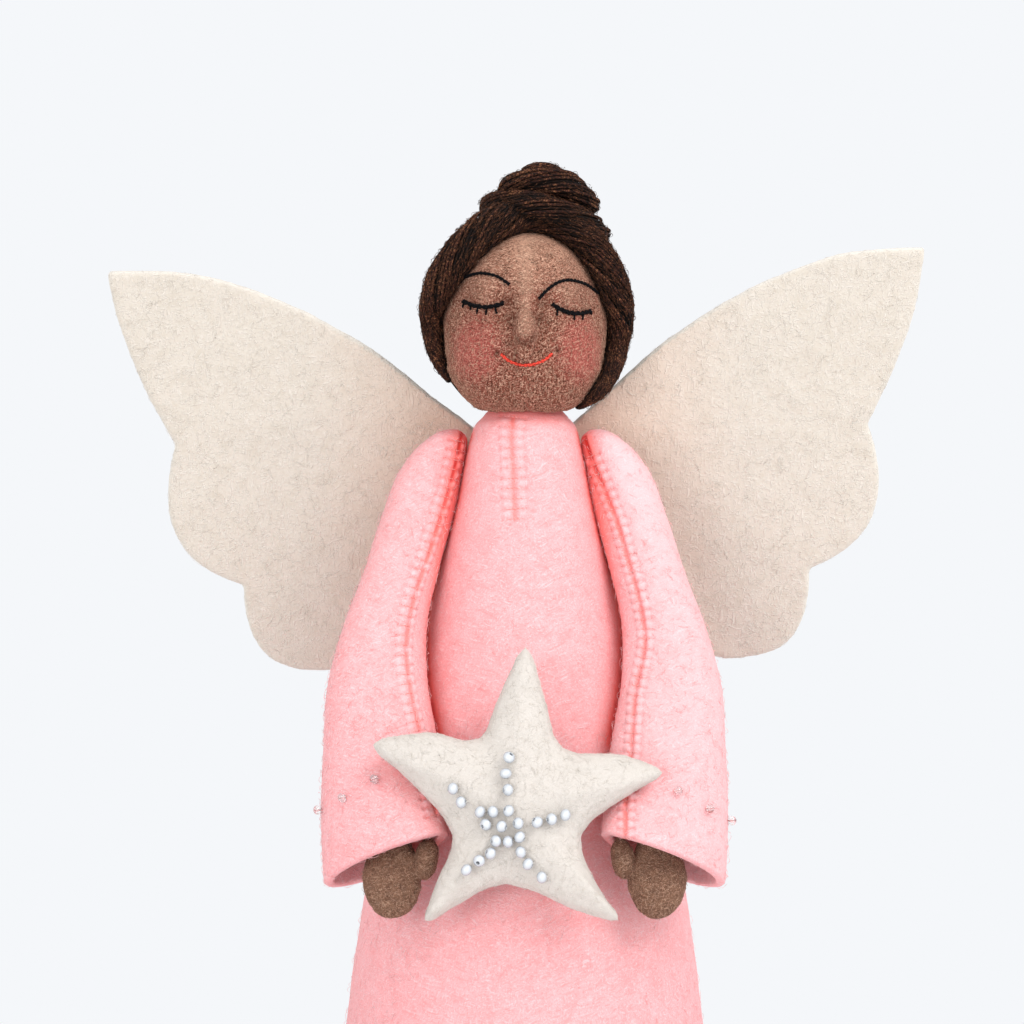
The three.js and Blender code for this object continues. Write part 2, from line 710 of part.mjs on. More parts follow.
const starPlace = new THREE.Group();
const cuffMiddle = sleeveStations(1).at(-1).centre;
starPlace.position.set(starShift, cuffMiddle.y - starAheadShare * starReach, cuffMiddle.z + starLift);
starPlace.rotation.set(toRadians(-starLean), 0, toRadians(starTurn));
arms.add(starPlace);
const star = piece('star', starSurface(), whiteWool);
starPlace.add(star);

// Each bead is dropped on to the front of the star, where it is sewn
starBeadShares.forEach(([x, z], k) => {
  const spot = new THREE.Vector3(x * starReach, 0, z * starReach);
  const bead = piece(`star_bead_${String(k + 1).padStart(2, '0')}`, seedBead(starBeadRadius), pearlGlass);
  bead.position.copy(sewnOn(star, new THREE.Vector3(0, -1, 0), spot, starBeadRadius));
  starPlace.add(bead);
});

console.log(`least gap between turns of the bun: ${leastRopeGap().toFixed(2)} mm`);

export default model;
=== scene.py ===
# %% [markdown]
# # A felt angel for the top of a Christmas tree
# The angel is sewn and needle-felted from sheep's wool. A hollow cone of thick felt is the dress, a hard
# ball of felted wool is the head, yarn is laid over it as hair, and a puffy star lies between the hands.
# Everything is built in metres around the CAD model, which gives each piece its size and its place.

# %% Load the frame
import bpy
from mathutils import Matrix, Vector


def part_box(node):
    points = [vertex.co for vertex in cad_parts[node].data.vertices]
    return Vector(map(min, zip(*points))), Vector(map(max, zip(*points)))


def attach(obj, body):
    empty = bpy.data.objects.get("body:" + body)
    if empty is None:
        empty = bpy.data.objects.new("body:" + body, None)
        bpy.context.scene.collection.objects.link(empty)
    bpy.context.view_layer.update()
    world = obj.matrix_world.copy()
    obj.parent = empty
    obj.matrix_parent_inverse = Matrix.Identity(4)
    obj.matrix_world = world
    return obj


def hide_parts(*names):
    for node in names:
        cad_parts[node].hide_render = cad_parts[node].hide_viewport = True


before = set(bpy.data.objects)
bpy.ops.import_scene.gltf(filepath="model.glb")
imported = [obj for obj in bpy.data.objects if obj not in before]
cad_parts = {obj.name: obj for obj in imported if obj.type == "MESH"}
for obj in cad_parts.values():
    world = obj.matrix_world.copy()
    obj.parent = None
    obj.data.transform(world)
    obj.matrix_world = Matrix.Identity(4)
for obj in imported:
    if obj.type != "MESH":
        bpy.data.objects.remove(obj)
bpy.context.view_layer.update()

# %% Modules and units
import math
from contextlib import contextmanager

import bpy
import numpy as np
from mathutils import Vector
from mathutils.bvhtree import BVHTree
from mathutils.kdtree import KDTree

MM = 0.001
FULL_TURN = 2 * math.pi
SIDES = {"left": -1, "right": 1}

# %% [markdown]
# ## Camera
# The photograph looks straight at the angel from about 1.3 m away, level with the star's tip. One pixel
# is 0.27 mm wide in the plane of the dress's axis. With the camera in place, a stitch or a lash can be
# found by the pixel it shows at, and dropped along that line of sight on to the wool that carries it.

# %% Camera
PHOTO_PIXELS = 1024
PIXEL_SIZE = 0.27 * MM
EYE = Vector((-3.5, -1300, 177.7)) * MM
bpy.ops.object.select_all(action="DESELECT")
bpy.ops.object.camera_add(location=EYE, rotation=(math.pi / 2, 0, 0))
camera = bpy.context.object
camera.name = "camera"
camera.data.lens = camera.data.sensor_width * -EYE.y / (PHOTO_PIXELS * PIXEL_SIZE)
bpy.context.scene.camera = camera
print("lens", round(camera.data.lens, 1), "mm")


def line_of_sight(column, row):
    """Direction from the camera through a pixel of the photograph."""
    middle = PHOTO_PIXELS / 2
    return Vector(((column - middle) * PIXEL_SIZE, -EYE.y, (middle - row) * PIXEL_SIZE)).normalized()


# %% [markdown]
# ## Tools used again and again
# An operator acts on all that is selected, and the CAD nodes arrive selected, so each step begins by
# selecting one piece alone. Modifiers are applied at once, because the shape that they give is then pushed
# about point by point: a felt piece gets its dents and grooves from moved points, as a needle gives them.

# %% Selecting, modifiers and points
def pick(piece):
    """Make one piece the only selected and active one."""
    bpy.ops.object.select_all(action="DESELECT")
    piece.select_set(True)
    bpy.context.view_layer.objects.active = piece


@contextmanager
def edit_mode(piece):
    """Edit Mode, entered with all of one piece selected."""
    pick(piece)
    bpy.ops.object.mode_set(mode="EDIT")
    bpy.ops.mesh.select_all(action="SELECT")
    yield
    bpy.ops.object.mode_set(mode="OBJECT")


def shade_smooth(piece):
    pick(piece)
    bpy.ops.object.shade_smooth()


def modify(piece, kind, **settings):
    """Add a modifier, set it and apply it."""
    pick(piece)
    modifier = piece.modifiers.new(kind.title(), kind)
    for key, value in settings.items():
        setattr(modifier, key, value)
    bpy.ops.object.modifier_apply(modifier=modifier.name)


def read_points(piece, what="co"):
    """Points or normals of a mesh as rows of x, y, z."""
    source = piece.data.vertices if what == "co" else piece.data.vertex_normals
    rows = np.empty(3 * len(source))
    source.foreach_get("co" if what == "co" else "vector", rows)
    return rows.reshape(-1, 3)


def write_points(piece, rows):
    piece.data.vertices.foreach_set("co", rows.ravel())
    piece.data.update()


def unit(rows):
    return rows / np.maximum(np.linalg.norm(rows, axis=-1, keepdims=True), 1e-12)


def fade(values, start, full):
    """A share that goes from 0 to 1 as values go from start to full."""
    return np.clip((values - start) / (full - start), 0, 1)


# %% Curves through chosen points
def run_along(path):
    """Distance along a path at each of its points."""
    return np.concatenate([[0], np.cumsum(np.linalg.norm(np.diff(path, axis=0), axis=1))])


def smooth_path(points, count):
    """Catmull-Rom curve through the points, cut into evenly spaced steps."""
    rows = np.asarray(points, float)
    rows = np.vstack([2 * rows[0] - rows[1], rows, 2 * rows[-1] - rows[-2]])
    place = np.linspace(0, len(rows) - 3, 24 * len(rows))
    first = np.minimum(place.astype(int), len(rows) - 4)
    part = (place - first)[:, None]
    a, b, c, d = (rows[first + step] for step in range(4))
    curve = b + 0.5 * part * (c - a + part * (2 * a - 5 * b + 4 * c - d + part * (3 * (b - c) + d - a)))
    run = run_along(curve)
    wanted = np.linspace(0, run[-1], count)
    return np.stack([np.interp(wanted, run, column) for column in curve.T], axis=1)


def directions_across(path, facing):
    """Two directions across a path at each point: sideways, and towards the side that it faces."""
    along = unit(np.gradient(path, axis=0))
    side = unit(np.cross(along, facing))
    return side, np.cross(side, along)


# %% Copy of a CAD node as a start
def start_from(node, name):
    """A merged copy of a CAD node's loose triangles, to be made into the finished piece."""
    piece = bpy.data.objects.new(name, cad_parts[node].data.copy())
    bpy.context.collection.objects.link(piece)
    piece.data.materials.clear()
    with edit_mode(piece):
        bpy.ops.mesh.remove_doubles(threshold=0.01 * MM)
    return piece


def felt_over(piece, grain, rounds):
    """Voxel remesh and smoothing: the even, slightly rounded skin of felted wool."""
    modify(piece, "REMESH", mode="VOXEL", voxel_size=grain)
    modify(piece, "SMOOTH", factor=0.5, iterations=rounds)
    shade_smooth(piece)


def dent_at_random(piece, across, depth):
    """Shallow hollows and swellings, as hand felting leaves."""
    dents = bpy.data.textures.new(f"{piece.name}_dents", "CLOUDS")
    dents.noise_scale = across
    dents.noise_depth = 1
    modify(piece, "DISPLACE", texture=dents, texture_coords="LOCAL", strength=2 * depth, mid_level=0.5)


def felted(node, name, grain, rounds, across=None, depth=None):
    """A felted copy of a CAD node, dented at random if the dents have a size."""
    piece = start_from(node, name)
    felt_over(piece, grain, rounds)
    if across:
        dent_at_random(piece, across, depth)
    return piece


# %% Finding places and pressing wool
def tree_of(spots):
    """Search tree of points."""
    tree = KDTree(len(spots))
    for index, spot in enumerate(spots):
        tree.insert(spot, index)
    tree.balance()
    return tree


def gaps_to(piece, spots):
    """How far each point of a piece is from the nearest of the spots."""
    tree = tree_of(spots)
    return np.array([tree.find(row)[2] for row in read_points(piece)])


def press_line(piece, spots, depth, width, swell=0.0):
    """Push the surface in along a row of spots, and raise it by swell beside them."""
    apart = gaps_to(piece, spots) / width
    push = depth * np.exp(-apart ** 2) - swell * apart ** 2 * np.exp(1 - apart ** 2)
    write_points(piece, read_points(piece) - read_points(piece, "normal") * push[:, None])


def skin_of(piece):
    """Search tree of a finished surface."""
    return BVHTree.FromObject(piece, bpy.context.evaluated_depsgraph_get())


def drop_on(skin, pixels):
    """Points and normals where lines of sight through pixels meet a surface."""
    hits = [skin.ray_cast(EYE, line_of_sight(*pixel))[:2] for pixel in pixels]
    hits = [hit for hit in hits if hit[0] is not None]
    return np.array([hit[0] for hit in hits]), np.array([hit[1] for hit in hits])


def dab(piece, spots):
    """Raise or sink round spots, each a pixel, a reach and a height in millimetres."""
    skin = skin_of(piece)
    rows = read_points(piece)
    for pixel, reach, height in spots:
        (middle,), (outwards,) = drop_on(skin, [pixel])
        apart = np.linalg.norm(rows - middle, axis=1) / (reach * MM)
        rows = rows + outwards * (height * MM * np.exp(-apart ** 2))[:, None]
    write_points(piece, rows)


# %% [markdown]
# Shade and light are painted into the wool's colour: painted shade in its folds, round a stitch and where two
# pieces nearly touch, and painted light on a cut edge and on some swells. That share is worked out for each
# point and kept on the mesh as a number, which the wool materials read.

# %% Painted light and shade
def closeness(piece, spots, reach):
    """1 at chosen spots on a surface, fading out over a reach."""
    return np.exp(-(gaps_to(piece, spots) / reach) ** 2)


def nearness(piece, others, reach):
    """1 where another piece touches, fading out over a reach."""
    share = np.zeros(len(piece.data.vertices))
    for other in others:
        skin = skin_of(other)
        found = [skin.find_nearest(row, 2.5 * reach)[3] for row in read_points(piece)]
        apart = np.array([math.inf if gap is None else gap for gap in found]) / reach
        share = np.maximum(share, np.exp(-apart ** 2))
    return share


def beside_edge(front, behind, columns, rows):
    """Spots on a surface where a nearer one begins to hide it, going along rows of pixels."""
    spots = []
    for row in rows:
        seen = None
        for column in columns:
            sight = line_of_sight(column, row)
            spot, _, _, far = behind.ray_cast(EYE, sight)
            near = front.ray_cast(EYE, sight)[3] or math.inf
            if spot is None or near < far:
                break
            seen = spot
        spots.append(seen)
    return spots


def write_painted_shading(piece, painted_shading):
    """Keep the painted light and shade for each point: below 0 painted shade, above 0 painted light."""
    piece.data.attributes.new("painted_shading", "FLOAT", "POINT").data.foreach_set("value", painted_shading)


# %% [markdown]
# ## Yarn, thread and fibres
# Hair yarn, sewing thread and stray fibres are all long thin tubes. One function lays closed tubes along
# many paths at once and writes a UV map: metres along the tube, and the share of the way round it. The
# twist of the plies is drawn from that map, so it turns round each strand as real plies do.

# %% Tubes along paths
def mesh_piece(name, corners, faces, lay=None):
    mesh = bpy.data.meshes.new(name)
    mesh.from_pydata(corners.tolist(), [], faces)
    if lay:
        mesh.uv_layers.new(name="lay").data.foreach_set("uv", np.array(lay).ravel())
    mesh.update()
    piece = bpy.data.objects.new(name, mesh)
    bpy.context.collection.objects.link(piece)
    shade_smooth(piece)
    return piece


def lay_tubes(name, paths, radius, sides=6, centre=(0, 0, 0), tip_share=0.35):
    """One mesh of closed tubes. Centre is what their outer side faces away from."""
    turns = np.arange(sides)[None, :, None] * FULL_TURN / sides
    corners, faces, lay = [], [], []
    start = 0
    for path in paths:
        path = np.asarray(path, float)
        steps = len(path)
        side, up = directions_across(path, path - centre)
        thick = np.full(steps, radius)
        thick[[0, -1]] *= tip_share
        ring = np.cos(turns) * side[:, None] + np.sin(turns) * up[:, None]
        skin = path[:, None] + ring * thick[:, None, None]
        corners += [path[:1], skin.reshape(-1, 3), path[-1:]]
        run = run_along(path)
        first, last = start, start + 1 + steps * sides
        end = last - sides
        for i in range(sides):
            j = (i + 1) % sides
            u, v = i / sides, (i + 1) / sides
            faces.append((first, start + 1 + j, start + 1 + i))
            lay += [(0, u), (0, v), (0, u)]
            for k in range(steps - 1):
                here = start + 1 + k * sides
                faces.append((here + i, here + j, here + sides + j, here + sides + i))
                lay += [(run[k], u), (run[k], v), (run[k + 1], v), (run[k + 1], u)]
            faces.append((last, end + i, end + j))
            lay += [(run[-1], u), (run[-1], u), (run[-1], v)]
        start = last + 1
    return mesh_piece(name, np.vstack(corners), faces, lay)


# %% Stray fibres that lie on a surface
FIBRE_STEPS = 5
FIBRE_SIDES = 3


def nearest_heading(spots, paths):
    """Direction of the nearest stretch of some paths, for each spot."""
    tree = tree_of(np.vstack(paths))
    headings = np.vstack([unit(np.gradient(path, axis=0)) for path in paths])
    return headings[[tree.find(spot)[1] for spot in spots]]


def scatter_fibres(name, base, count, length, thickness, lift, seed, yarns=None, loose=0.4):
    """Thin curved fibres on a surface, along its yarns if it has any. Some stand off at one end."""
    rng = np.random.default_rng(seed)
    mesh = base.data
    mesh.calc_loop_triangles()
    triangles = np.empty(3 * len(mesh.loop_triangles), int)
    mesh.loop_triangles.foreach_get("vertices", triangles)
    corner = read_points(base)[triangles.reshape(-1, 3)]
    upright = np.cross(corner[:, 1] - corner[:, 0], corner[:, 2] - corner[:, 0])
    areas = np.linalg.norm(upright, axis=1)
    picked = rng.choice(len(areas), count, p=areas / areas.sum())
    roots = (corner[picked] * rng.dirichlet((1, 1, 1), count)[:, :, None]).sum(axis=1)
    outwards = unit(upright[picked])
    along = unit(np.cross(outwards, rng.normal(size=(count, 3))))
    if yarns:
        along = unit(0.45 * along + nearest_heading(roots, yarns))
    aside = np.cross(outwards, along)
    reach = length * rng.uniform(0.5, 1.3, (count, 1))
    bend = reach * rng.uniform(-0.35, 0.35, (count, 1))
    rise = lift * rng.uniform(0.2, 1, count) ** 2
    free = rng.random(count) < loose
    skin = skin_of(base)
    line = np.empty((count, FIBRE_STEPS, 3))
    for k, station in enumerate(np.linspace(-1, 1, FIBRE_STEPS)):
        spots = roots + along * reach * station / 2 + aside * bend * (1 - station ** 2)
        arch = np.where(free, ((1 + station) / 2) ** 1.6, 1 - station ** 2)
        for i, spot in enumerate(spots):
            near, normal, _, _ = skin.find_nearest(spot)
            line[i, k] = near + normal * (rise[i] * arch[i] - thickness / 2)
    heading = unit(line[:, 2:] - line[:, :-2])
    side = unit(np.cross(heading, outwards[:, None]))
    up = np.cross(side, heading)
    angles = (np.arange(FIBRE_SIDES) * FULL_TURN / FIBRE_SIDES)[:, None]
    rings = line[:, 1:-1, None] + (thickness / 2) * (
        np.cos(angles) * side[:, :, None] + np.sin(angles) * up[:, :, None])
    corners = np.concatenate([line[:, :1], rings.reshape(count, -1, 3), line[:, -1:]], axis=1)
    per = corners.shape[1]
    end = per - 1 - FIBRE_SIDES
    pattern = []
    for i in range(FIBRE_SIDES):
        j = (i + 1) % FIBRE_SIDES
        pattern.append((0, 1 + j, 1 + i))
        pattern += [(low + i, low + j, low + FIBRE_SIDES + j, low + FIBRE_SIDES + i)
                    for low in range(1, end, FIBRE_SIDES)]
        pattern.append((per - 1, end + i, end + j))
    faces = [tuple(start + spot for spot in face) for start in range(0, per * count, per) for face in pattern]
    return mesh_piece(name, corners.reshape(-1, 3), faces)


# %% [markdown]
# ## Materials
# All colour comes from procedural patterns in object space, scaled from real sizes: wool fibres are drawn
# 0.2 mm wide, coarser than the real 0.03 mm, because a finer one would not show at this distance. Felt
# is matt, so its roughness is high and its specular level low, and sheen gives the soft pale bloom of
# fibre ends at grazing angles.

# %% Colours and nodes
def colour(code):
    """sRGB hex code to the linear colour that a shader takes."""
    parts = [int(code[i:i + 2], 16) / 255 for i in (1, 3, 5)]
    return (*[p / 12.92 if p <= 0.04045 else ((p + 0.055) / 1.055) ** 2.4 for p in parts], 1.0)


def add(tree, kind, inputs=None, **settings):
    """Add a shader node, set its properties, then set or link its inputs. Colours are hex codes."""
    node = tree.nodes.new("ShaderNode" + kind)
    for key, value in settings.items():
        setattr(node, key, value)
    for key, value in (inputs or {}).items():
        if isinstance(value, bpy.types.Node):
            value = value.outputs[0]
        if isinstance(value, bpy.types.NodeSocket):
            tree.links.new(value, node.inputs[key])
        else:
            node.inputs[key].default_value = colour(value) if isinstance(value, str) else value
    return node


def new_material(name):
    material = bpy.data.materials.new(name)
    material.use_nodes = True
    material.node_tree.nodes.clear()
    return material, material.node_tree


# %% Felted wool
FIBRE_TURNS = [(0.1, 1.2, 0.5), (0.0, 1.8, -0.6), (-0.1, 2.6, 1.4)]
THROUGH_SHARE = 0.1


def fibre_streaks(tree, where, width, run):
    """Pale and dark patterns of thin wandering streaks laid in three directions, each from 0 to 1."""
    drift = add(tree, "TexNoise", {"Vector": where, "Scale": 0.7 / run, "Detail": 1.0}).outputs["Color"]
    bent = add(tree, "VectorMath", {0: drift, 1: (0.6 * run,) * 3, 2: where}, operation="MULTIPLY_ADD")
    strands = []
    for turn in FIBRE_TURNS:
        laid = add(tree, "Mapping", {"Vector": bent, "Rotation": turn,
                                     "Scale": (2 * width, 2 * width, 2 * run)}, vector_type="TEXTURE")
        strands.append(add(tree, "TexNoise", {"Vector": laid, "Scale": 1.0, "Detail": 1.0}))
    patterns = []
    for operation, start, full in (("MAXIMUM", 0.58, 0.72), ("MINIMUM", 0.42, 0.3)):
        two = add(tree, "Math", {0: strands[0], 1: strands[1]}, operation=operation)
        three = add(tree, "Math", {0: two, 1: strands[2]}, operation=operation)
        patterns.append(add(tree, "MapRange", {"Value": three, "From Min": start, "From Max": full}))
    return patterns


def with_painted_shading(tree, base, pale, painted_shade, deepest_painted_shade):
    """The base colour with painted shade and painted light mixed in, by the share kept on the piece."""
    painted_shading = add(tree, "Attribute", attribute_name="painted_shading", attribute_type="GEOMETRY").outputs["Fac"]
    shades = [(painted_shade, 0.0, -1.0, 0.85), (deepest_painted_shade, -1.0, -2.0, 0.9), (pale, 0.0, 1.0, 0.9)]
    for code, start, full, most in shades:
        share = add(tree, "MapRange", {"Value": painted_shading, "From Min": start, "From Max": full, "To Max": most})
        base = add(tree, "Mix", {0: share, 6: base, 7: code}, data_type="RGBA").outputs[2]
    return base


def wool_shader(tree, base, streaks, dimples, sheen, bump, through=None):
    """Matt wool with fibre bump and a bloom of sheen. Light may also come through from behind."""
    rough = add(tree, "Math", {0: streaks, 1: 0.5, 2: dimples}, operation="MULTIPLY_ADD")
    relief = add(tree, "Bump", {"Height": rough, "Distance": bump, "Strength": 0.8})
    surface = add(tree, "BsdfPrincipled", {
        "Base Color": base, "Roughness": 0.95, "Specular IOR Level": 0.15, "Normal": relief,
        "Sheen Weight": 0.25, "Sheen Roughness": 0.5, "Sheen Tint": sheen})
    if through:
        behind = add(tree, "BsdfTranslucent", {"Color": through, "Normal": relief})
        surface = add(tree, "MixShader", {0: THROUGH_SHARE, 1: surface, 2: behind})
    add(tree, "OutputMaterial", {"Surface": surface})


def wool_felt(name, colours, mottle=4, width=0.2, run=3.2, patch_share=0.7, fibre_share=0.6, through=None):
    """Felted wool: fibres over a mottled body. The colours are body, patch, pale fibre (also the painted
    light), dark fibre, painted shade, deepest painted shade.
    """
    body, patch, pale, dark, painted_shade, deepest_painted_shade = colours.split()
    material, tree = new_material(name)
    where = add(tree, "TexCoord").outputs["Object"]
    mottling = add(tree, "TexNoise", {"Vector": where, "Scale": 1 / (mottle * MM), "Detail": 4.0,
                                      "Roughness": 0.65})
    share = add(tree, "MapRange", {"Value": mottling, "From Min": 0.45, "From Max": 0.65,
                                   "To Max": patch_share})
    base = add(tree, "Mix", {0: share, 6: body, 7: patch}, data_type="RGBA").outputs[2]
    streaks = fibre_streaks(tree, where, width * MM, run * MM)
    for streak, code in zip(streaks, (pale, dark)):
        faded = add(tree, "Math", {0: streak, 1: fibre_share}, operation="MULTIPLY")
        base = add(tree, "Mix", {0: faded, 6: base, 7: code}, data_type="RGBA").outputs[2]
    base = with_painted_shading(tree, base, pale, painted_shade, deepest_painted_shade)
    wool_shader(tree, base, streaks[0], mottling, pale, width * MM, through)
    return material


PINK_THROUGH = "#FF8F8A"
# The last two colours of each felt are its painted shade and deepest painted shade, and the pale one is also
# its painted light.
pink_felt = wool_felt("needle_punched_wool_felt_pink", "#FAB7BA #F6A5A7 #FFDADD #EF9898 #FF827A #CC2013",
                      through=PINK_THROUGH)
pink_edge = wool_felt("cut_edge_of_wool_felt_pink", "#FDC6C8 #F9B3B4 #FFE0E2 #F3A4A3 #FF827A #CC2013",
                      mottle=2, through=PINK_THROUGH)
# The cream felt's painted shade is warm, like pink light reflected from the sleeves.
cream_felt = wool_felt("needle_punched_wool_felt_cream", "#D0C8BD #C8BFB2 #E3DDD5 #C2B7A8 #F0B795 #AD8868",
                       width=0.3, run=4, patch_share=0.6, fibre_share=0.3)
white_wool = wool_felt("needle_felted_wool_white", "#CFC8C1 #CAC3BB #DFDAD5 #C6BEB5 #C9C1B9 #A99C8A",
                       mottle=2.5, width=0.15, run=2.2, patch_share=0.4, fibre_share=0.35)
stuffing_wool = wool_felt("carded_wool_stuffing", "#ECE6DA #D9D0C0 #FAF7EF #C9BEA9 #C9BEA9 #A99C8A",
                          width=0.3)
hand_wool = wool_felt("needle_felted_wool_brown", "#775644 #5B3F33 #BE9D87 #402A20 #432C22 #20130E",
                      mottle=2.6, width=0.13, run=2.2)
# Dark pink laid in the needle holes as their painted shade.
painted_hole_shade_felt = wool_felt("wool_felt_pink_painted_hole_shade", "#B8433D #9A3430 #D66A62 #7E2421 #9A3430 #7E2421")
chenille = wool_felt("chenille_pile_brown", "#7A5E4C #5C4436 #B09680 #3E2B22 #3B2820 #20130E",
                     mottle=1.2, width=0.12, run=1.2)
cap_wool = wool_felt("carded_wool_dark_brown", "#1E120B #120A06 #35210F #0C0603 #120A06 #0C0603", mottle=2)

# %% Fibres that lie loose on the wool
pink_fluff = wool_felt("stray_wool_fibre_pink", "#FFDADC #F89F9D #FFECED #F48F8C #FF928C #DC463C",
                       mottle=1.5, patch_share=1.0)
cream_fluff = wool_felt("stray_wool_fibre_cream", "#E6E0D8 #DBD3C9 #F6F3EE #D5CCC0 #D8B795 #B08E6C",
                        mottle=1.5, patch_share=1.0)
brown_fluff = wool_felt("stray_wool_fibre_brown", "#C99C83 #6E4635 #E6C4AC #4A3025 #4A3025 #2B1A12",
                        mottle=1, patch_share=1.0)
hair_fluff = wool_felt("stray_wool_fibre_dark_brown", "#4A2A1D #180B07 #9A6C50 #0E0704 #2B1A10 #170D07",
                       mottle=1, patch_share=1.0)

# %% [markdown]
# ## World, lamps and floor
# The photograph is high-key: a white surround, a broad soft light from the upper right, and a gentle
# fill from low on the left of the camera, which also reaches into the cuffs. The surround is only seen by
# the camera and by glossy or clear surfaces, so it adds no light of its own. The floor is pale, keeps the
# contact shadow under the hem, and fades into the surround.

# %% World and lamps
BACKGROUND = "#F5F7FA"
AMBIENT = 0.92
LAMP_TARGET = Vector((0, 0, 150)) * MM


def seen_directly(tree):
    """1 for rays from the camera, glossy surfaces and glass."""
    path = add(tree, "LightPath").outputs
    either = add(tree, "Math", {0: path["Is Camera Ray"], 1: path["Is Glossy Ray"]}, operation="MAXIMUM")
    return add(tree, "Math", {0: either, 1: path["Is Transmission Ray"]}, operation="MAXIMUM")


world = bpy.data.worlds.new("studio")
bpy.context.scene.world = world
world.use_nodes = True
tree = world.node_tree
tree.nodes.clear()
surround = add(tree, "Background", {"Color": BACKGROUND, "Strength": 1.0})
ambient = add(tree, "Background", {"Color": "#FFFFFF", "Strength": AMBIENT})
choice = add(tree, "MixShader", {0: seen_directly(tree), 1: ambient, 2: surround})
add(tree, "OutputWorld", {"Surface": choice})


def add_softbox(name, place, size, power):
    """A square lamp that faces the middle of the angel."""
    bpy.ops.object.select_all(action="DESELECT")
    facing = (LAMP_TARGET - Vector(place)).to_track_quat("-Z", "Y").to_euler()
    bpy.ops.object.light_add(type="AREA", location=place, rotation=facing)
    lamp = bpy.context.object
    lamp.name = name
    lamp.data.size = size
    lamp.data.energy = power


add_softbox("key_light", (0.75, -0.8, 1.05), 0.9, 11.5)
add_softbox("fill_light", (-0.6, -1.15, 0.18), 0.6, 5)

# %% Floor
FLOOR_SIZE = 3.0
FADE_START, FADE_END = 0.16, 0.34
floor_material, tree = new_material("pale_paper_sweep")
where = add(tree, "TexCoord").outputs["Object"]
away = add(tree, "VectorMath", {0: where}, operation="LENGTH").outputs["Value"]
faded = add(tree, "MapRange", {"Value": away, "From Min": FADE_START, "From Max": FADE_END},
            interpolation_type="SMOOTHSTEP")
hidden = add(tree, "Math", {0: faded, 1: seen_directly(tree)}, operation="MULTIPLY")
paper = add(tree, "BsdfDiffuse", {"Color": "#F2F3F5"})
glow = add(tree, "Emission", {"Color": BACKGROUND, "Strength": 1.0})
both = add(tree, "MixShader", {0: hidden, 1: paper, 2: glow})
add(tree, "OutputMaterial", {"Surface": both})
bpy.ops.object.select_all(action="DESELECT")
bpy.ops.mesh.primitive_plane_add(size=FLOOR_SIZE)
floor = bpy.context.object
floor.name = "floor"
floor.data.materials.append(floor_material)
bpy.context.scene.view_settings.view_transform = "Standard"


# %% [markdown]
# ## Handing a piece over
# Each finished piece gets its material, rides on the body that carries it, names the record's slot that
# it takes its finish from, and stands for the plain CAD solids that it replaces.

# %% Handing over
carried_by = {}


def settle(piece, material, body, slot, *nodes, rim=None):
    """Hand a finished piece over. Cut edges may have a rim material of their own."""
    piece.data.materials.append(material)
    if rim:
        piece.data.materials.append(rim)
    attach(piece, body)
    if nodes:
        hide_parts(*nodes)
    carried_by[piece.name] = (body, slot)
    print(piece.name, len(piece.data.polygons), "faces")
    return piece


# %% [markdown]
# ## Thread and stitches
# A thread is a twist of two plies. It lies half sunk in the wool, pulls a shallow dent under itself, and a
# deeper dimple where the needle went in. A short dark tube in such a dimple is painted shade of the hole.

# %% Thread material
def plies(tree, twist, full, low=0.0):
    """Shading of two plies that wind round a tube, drawn from its UV map."""
    lay = add(tree, "SeparateXYZ", {0: add(tree, "UVMap", uv_map="lay")}).outputs
    turned = add(tree, "Math", {0: lay["X"], 1: 1 / twist}, operation="MULTIPLY")
    phase = add(tree, "Math", {0: lay["Y"], 1: 2.0, 2: turned}, operation="MULTIPLY_ADD")
    around = add(tree, "Math", {0: phase, 1: FULL_TURN}, operation="MULTIPLY")
    wave = add(tree, "Math", {0: around}, operation="SINE")
    return add(tree, "MapRange", {"Value": wave, "From Min": -1.0, "From Max": full, "To Min": low})


def thread_shader(name, body, shade, twist):
    """Spun thread: painted shade between the plies round the tube."""
    material, tree = new_material(name)
    ridge = plies(tree, twist * MM, 0.6)
    base = add(tree, "Mix", {0: ridge, 6: shade, 7: body}, data_type="RGBA").outputs[2]
    relief = add(tree, "Bump", {"Height": ridge, "Distance": 0.1 * MM, "Strength": 0.8})
    surface = add(tree, "BsdfPrincipled", {
        "Base Color": base, "Roughness": 0.8, "Specular IOR Level": 0.12, "Normal": relief})
    add(tree, "OutputMaterial", {"Surface": surface})
    return material


black_thread = thread_shader("cotton_thread_black", "#0C0B0F", "#040405", 0.9)
coral_thread = thread_shader("cotton_thread_coral", "#F05545", "#B93428", 0.9)
pink_thread = thread_shader("wool_thread_pink", "#FBB6B1", "#F08780", 1.2)
white_thread = thread_shader("cotton_thread_white", "#F6F4EE", "#CFC9BE", 0.9)
cream_thread = thread_shader("wool_thread_cream", "#F4EBDD", "#CFC1AC", 1.2)

# %% Thread laid along a line on a surface
def twist_round(path, normals, radius, count, pitch):
    """Lines of plies that wind round a middle line."""
    side, up = directions_across(path, normals)
    run = run_along(path)
    lines = []
    for k in range(count):
        angle = (FULL_TURN * (k / count + run / pitch))[:, None]
        lines.append(path + radius * (np.cos(angle) * side + np.sin(angle) * up))
    return lines


def sewn_line(skin, pixels, steps, radius, sink=0.0):
    """Two plies along a line that shows through these pixels."""
    path, normals = drop_on(skin, smooth_path(pixels, steps))
    return twist_round(path + normals * (radius - sink), normals, radius * 0.55, 2, 7 * radius)


# %% Stitches across a seam
STITCH_THREAD = 0.12 * MM
NEEDLE_HOLE = 0.16 * MM
STITCH_POINTS = 7
STITCH_STATIONS = np.linspace(-1, 1, STITCH_POINTS)
DENT, DENT_REACH = 0.3 * MM, 0.5 * MM
PUFF, PUFF_REACH = 0.35 * MM, 0.9 * MM


